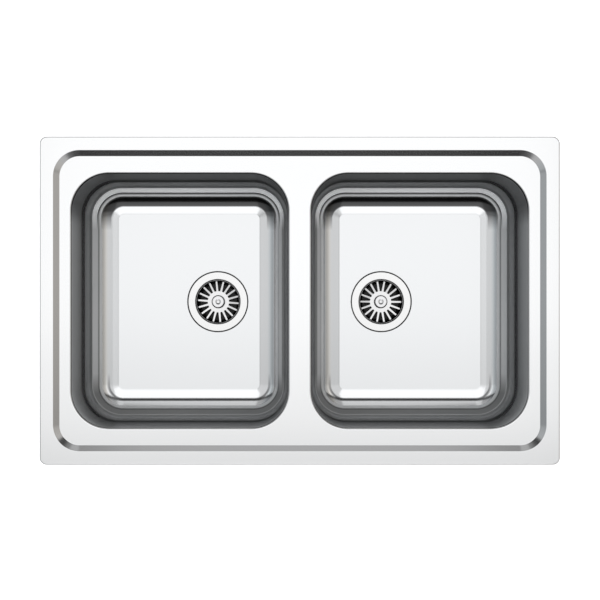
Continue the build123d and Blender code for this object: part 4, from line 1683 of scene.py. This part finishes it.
@dataclass(frozen=True)
class Studio:
    """A pale floor, soft light and a camera straight above the sink, with sizes in metres."""

    camera_height: float = 1.851
    camera_place: Point = (-0.0040, -0.0180)
    frame_shift: Point = (0.0048, 0.0209)  # brings the sink back to the middle of the frame
    lens: float = 73.0
    floor_height: float = -0.2425
    floor_half: float = 6.0
    floor_color: Color = (0.86, 0.86, 0.86)
    floor_glow: float = 0.82  # added where it is looked at, so that it shows white
    least_rise: float = 0.01  # keeps the tilt of a level direction finite
    ground_color: Color = (0.5, 0.5, 0.5)

    def camera(self) -> None:
        """Puts the camera over the sink, looking straight down with +Y up the picture."""
        lens = bpy.data.cameras.new("camera")
        lens.lens = self.lens
        lens.shift_x, lens.shift_y = self.frame_shift
        camera = bpy.data.objects.new("camera", lens)
        camera.location = (*self.camera_place, self.camera_height)
        bpy.context.scene.collection.objects.link(camera)
        bpy.context.scene.camera = camera

    def floor(self) -> None:
        """A wide pale floor that shows white, keeps a soft shadow, and is clear from below."""
        name = "studio_floor"
        skin = Skin()
        side = self.floor_half / MM
        corners = np.array([[[-side, -side], [side, -side]], [[-side, side], [side, side]]], float)
        level = np.full((2, 2, 1), self.floor_height / MM)
        skin.add_grid(np.concatenate([corners, level], axis=-1), wrap_columns=False)
        floor = bpy.data.objects.new(name, skin.mesh(name))
        bpy.context.scene.collection.objects.link(floor)
        material = bpy.data.materials.new(name)
        material.use_nodes = True
        nodes = Nodes(material.node_tree)
        matt = nodes.add("ShaderNodeBsdfDiffuse", inputs={"Color": (*self.floor_color, 1)}).outputs[0]
        glow = nodes.add("ShaderNodeEmission", inputs={"Strength": self.floor_glow}).outputs[0]
        both = nodes.add("ShaderNodeAddShader", inputs={0: matt, 1: glow}).outputs[0]
        clear = nodes.add("ShaderNodeBsdfTransparent").outputs[0]
        rays = nodes.add("ShaderNodeLightPath").outputs
        seen = nodes.maths("MAXIMUM", rays["Is Camera Ray"], rays["Is Glossy Ray"])
        seen = nodes.maths("MAXIMUM", seen, rays["Is Transmission Ray"])
        lit = nodes.add("ShaderNodeMixShader", inputs={0: seen, 1: matt, 2: both}).outputs[0]
        back = nodes.add("ShaderNodeNewGeometry").outputs["Backfacing"]
        surface = nodes.add("ShaderNodeMixShader", inputs={0: back, 1: lit, 2: clear}).outputs[0]
        nodes.add("ShaderNodeOutputMaterial", inputs={0: surface})
        floor.data.materials.append(material)

    def tilt_ramp(
        self, nodes: Nodes, part: Socket, rise: Socket, stops: list[tuple[float, Color]]
    ) -> Socket:
        """A colour for each tilt of a direction from straight up, atan(part / rise).

        Args:
            nodes: The sky's nodes.
            part: How far the direction goes along one axis.
            rise: How far it goes up.
            stops: Pairs of a tilt in degrees, from -90 to 90, and a colour.

        Returns:
            The colour.
        """
        tilt = nodes.maths("ARCTANGENT", nodes.maths("DIVIDE", part, rise))
        place = nodes.maths("MULTIPLY_ADD", tilt, 1 / pi, 0.5)
        return nodes.ramp(place, [(0.5 + angle / 180, color) for angle, color in stops])

    def sky(self) -> None:
        """The soft light all round: a long ceiling panel along X, with dimmer sides.

        For a direction (x, y, z) the light is across(atan(y / z)) along(atan(x / z)), warmer
        towards +X and cooler towards -X.  Below the horizon it is an even grey.
        """
        world = bpy.data.worlds.new("studio_sky")
        world.use_nodes = True
        bpy.context.scene.world = world
        nodes = Nodes(world.node_tree)
        way = nodes.add("ShaderNodeTexCoord").outputs["Generated"]
        x, y, z = nodes.add("ShaderNodeSeparateXYZ", inputs={0: way}).outputs
        rise = nodes.maths("MAXIMUM", z, self.least_rise)
        across = self.tilt_ramp(nodes, y, rise, [(angle, (level,) * 3) for angle, level in ACROSS])
        dome = nodes.multiply(1.0, across, self.tilt_ramp(nodes, x, rise, ALONG))
        inputs = {0: nodes.maths("LESS_THAN", z, 0.0), 6: dome, 7: (*self.ground_color, 1)}
        light = nodes.add("ShaderNodeMix", {"data_type": "RGBA"}, inputs).outputs[2]
        inputs = {"Color": light, "Strength": SKY_LEVEL}
        shine = nodes.add("ShaderNodeBackground", inputs=inputs).outputs[0]
        white = nodes.add("ShaderNodeBackground", inputs={"Color": (1, 1, 1, 1)}).outputs[0]
        seen = nodes.add("ShaderNodeLightPath").outputs["Is Camera Ray"]
        surface = nodes.add("ShaderNodeMixShader", inputs={0: seen, 1: shine, 2: white}).outputs[0]
        nodes.add("ShaderNodeOutputWorld", inputs={0: surface})

    def dress(self) -> None:
        """Sets up the camera, the floor and the light."""
        bpy.context.scene.view_settings.view_transform = "Standard"
        self.camera()
        self.floor()
        self.sky()


# ---- the whole sink ----
RIB_TURNS = {Side.LEFT: 75.5, Side.RIGHT: 79.5}  # where a rib of each basket stands, in degrees from +X
CARRIED: dict[str, Finish] = {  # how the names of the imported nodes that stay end, with their finish
    "rim_seal": SEAL_FOAM,
    "earth_tag": SCREW_STEEL,
    "clamp_studs": STUD_ZINC,
    "sound_pad": PAD_RUBBER,
    "body_gasket": GASKET_RUBBER,
    "thread_insert": BRASS,
    "centre_screw": SCREW_STEEL,
    "knob_screw": SCREW_CHROME,
    "basket_stem": STEM_PLASTIC,
    "stopper": GASKET_RUBBER,
    "stopper_clip": SCREW_STEEL,
    "clamp_arm": ZINC_PLATE,
    "wing_nut": ZINC_PLATE,
}


def dress_carried() -> None:
    """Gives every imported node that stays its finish, by the end of its name."""
    for name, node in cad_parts.items():
        finish = next((CARRIED[kind] for kind in CARRIED if name.endswith(kind)), None)
        if finish:
            node.data.materials.clear()
            node.data.materials.append(finish.material())
            log.info("finished %s", name)


def main() -> None:
    """Builds every piece, in order."""
    logging.basicConfig(level=logging.INFO)
    Studio().dress()
    mouth = Mouth()
    DeckPanel(mouth).dress()
    for side in Side:
        Bowl(mouth).dress(side)
        StrainerCup().dress(side)
        FlangeGasket().dress(side)
        Basket().dress(side, RIB_TURNS[side])
        Knob().dress(side)
        WasteBody().dress(side)
    dress_carried()


if __name__ == "__main__":
    main()
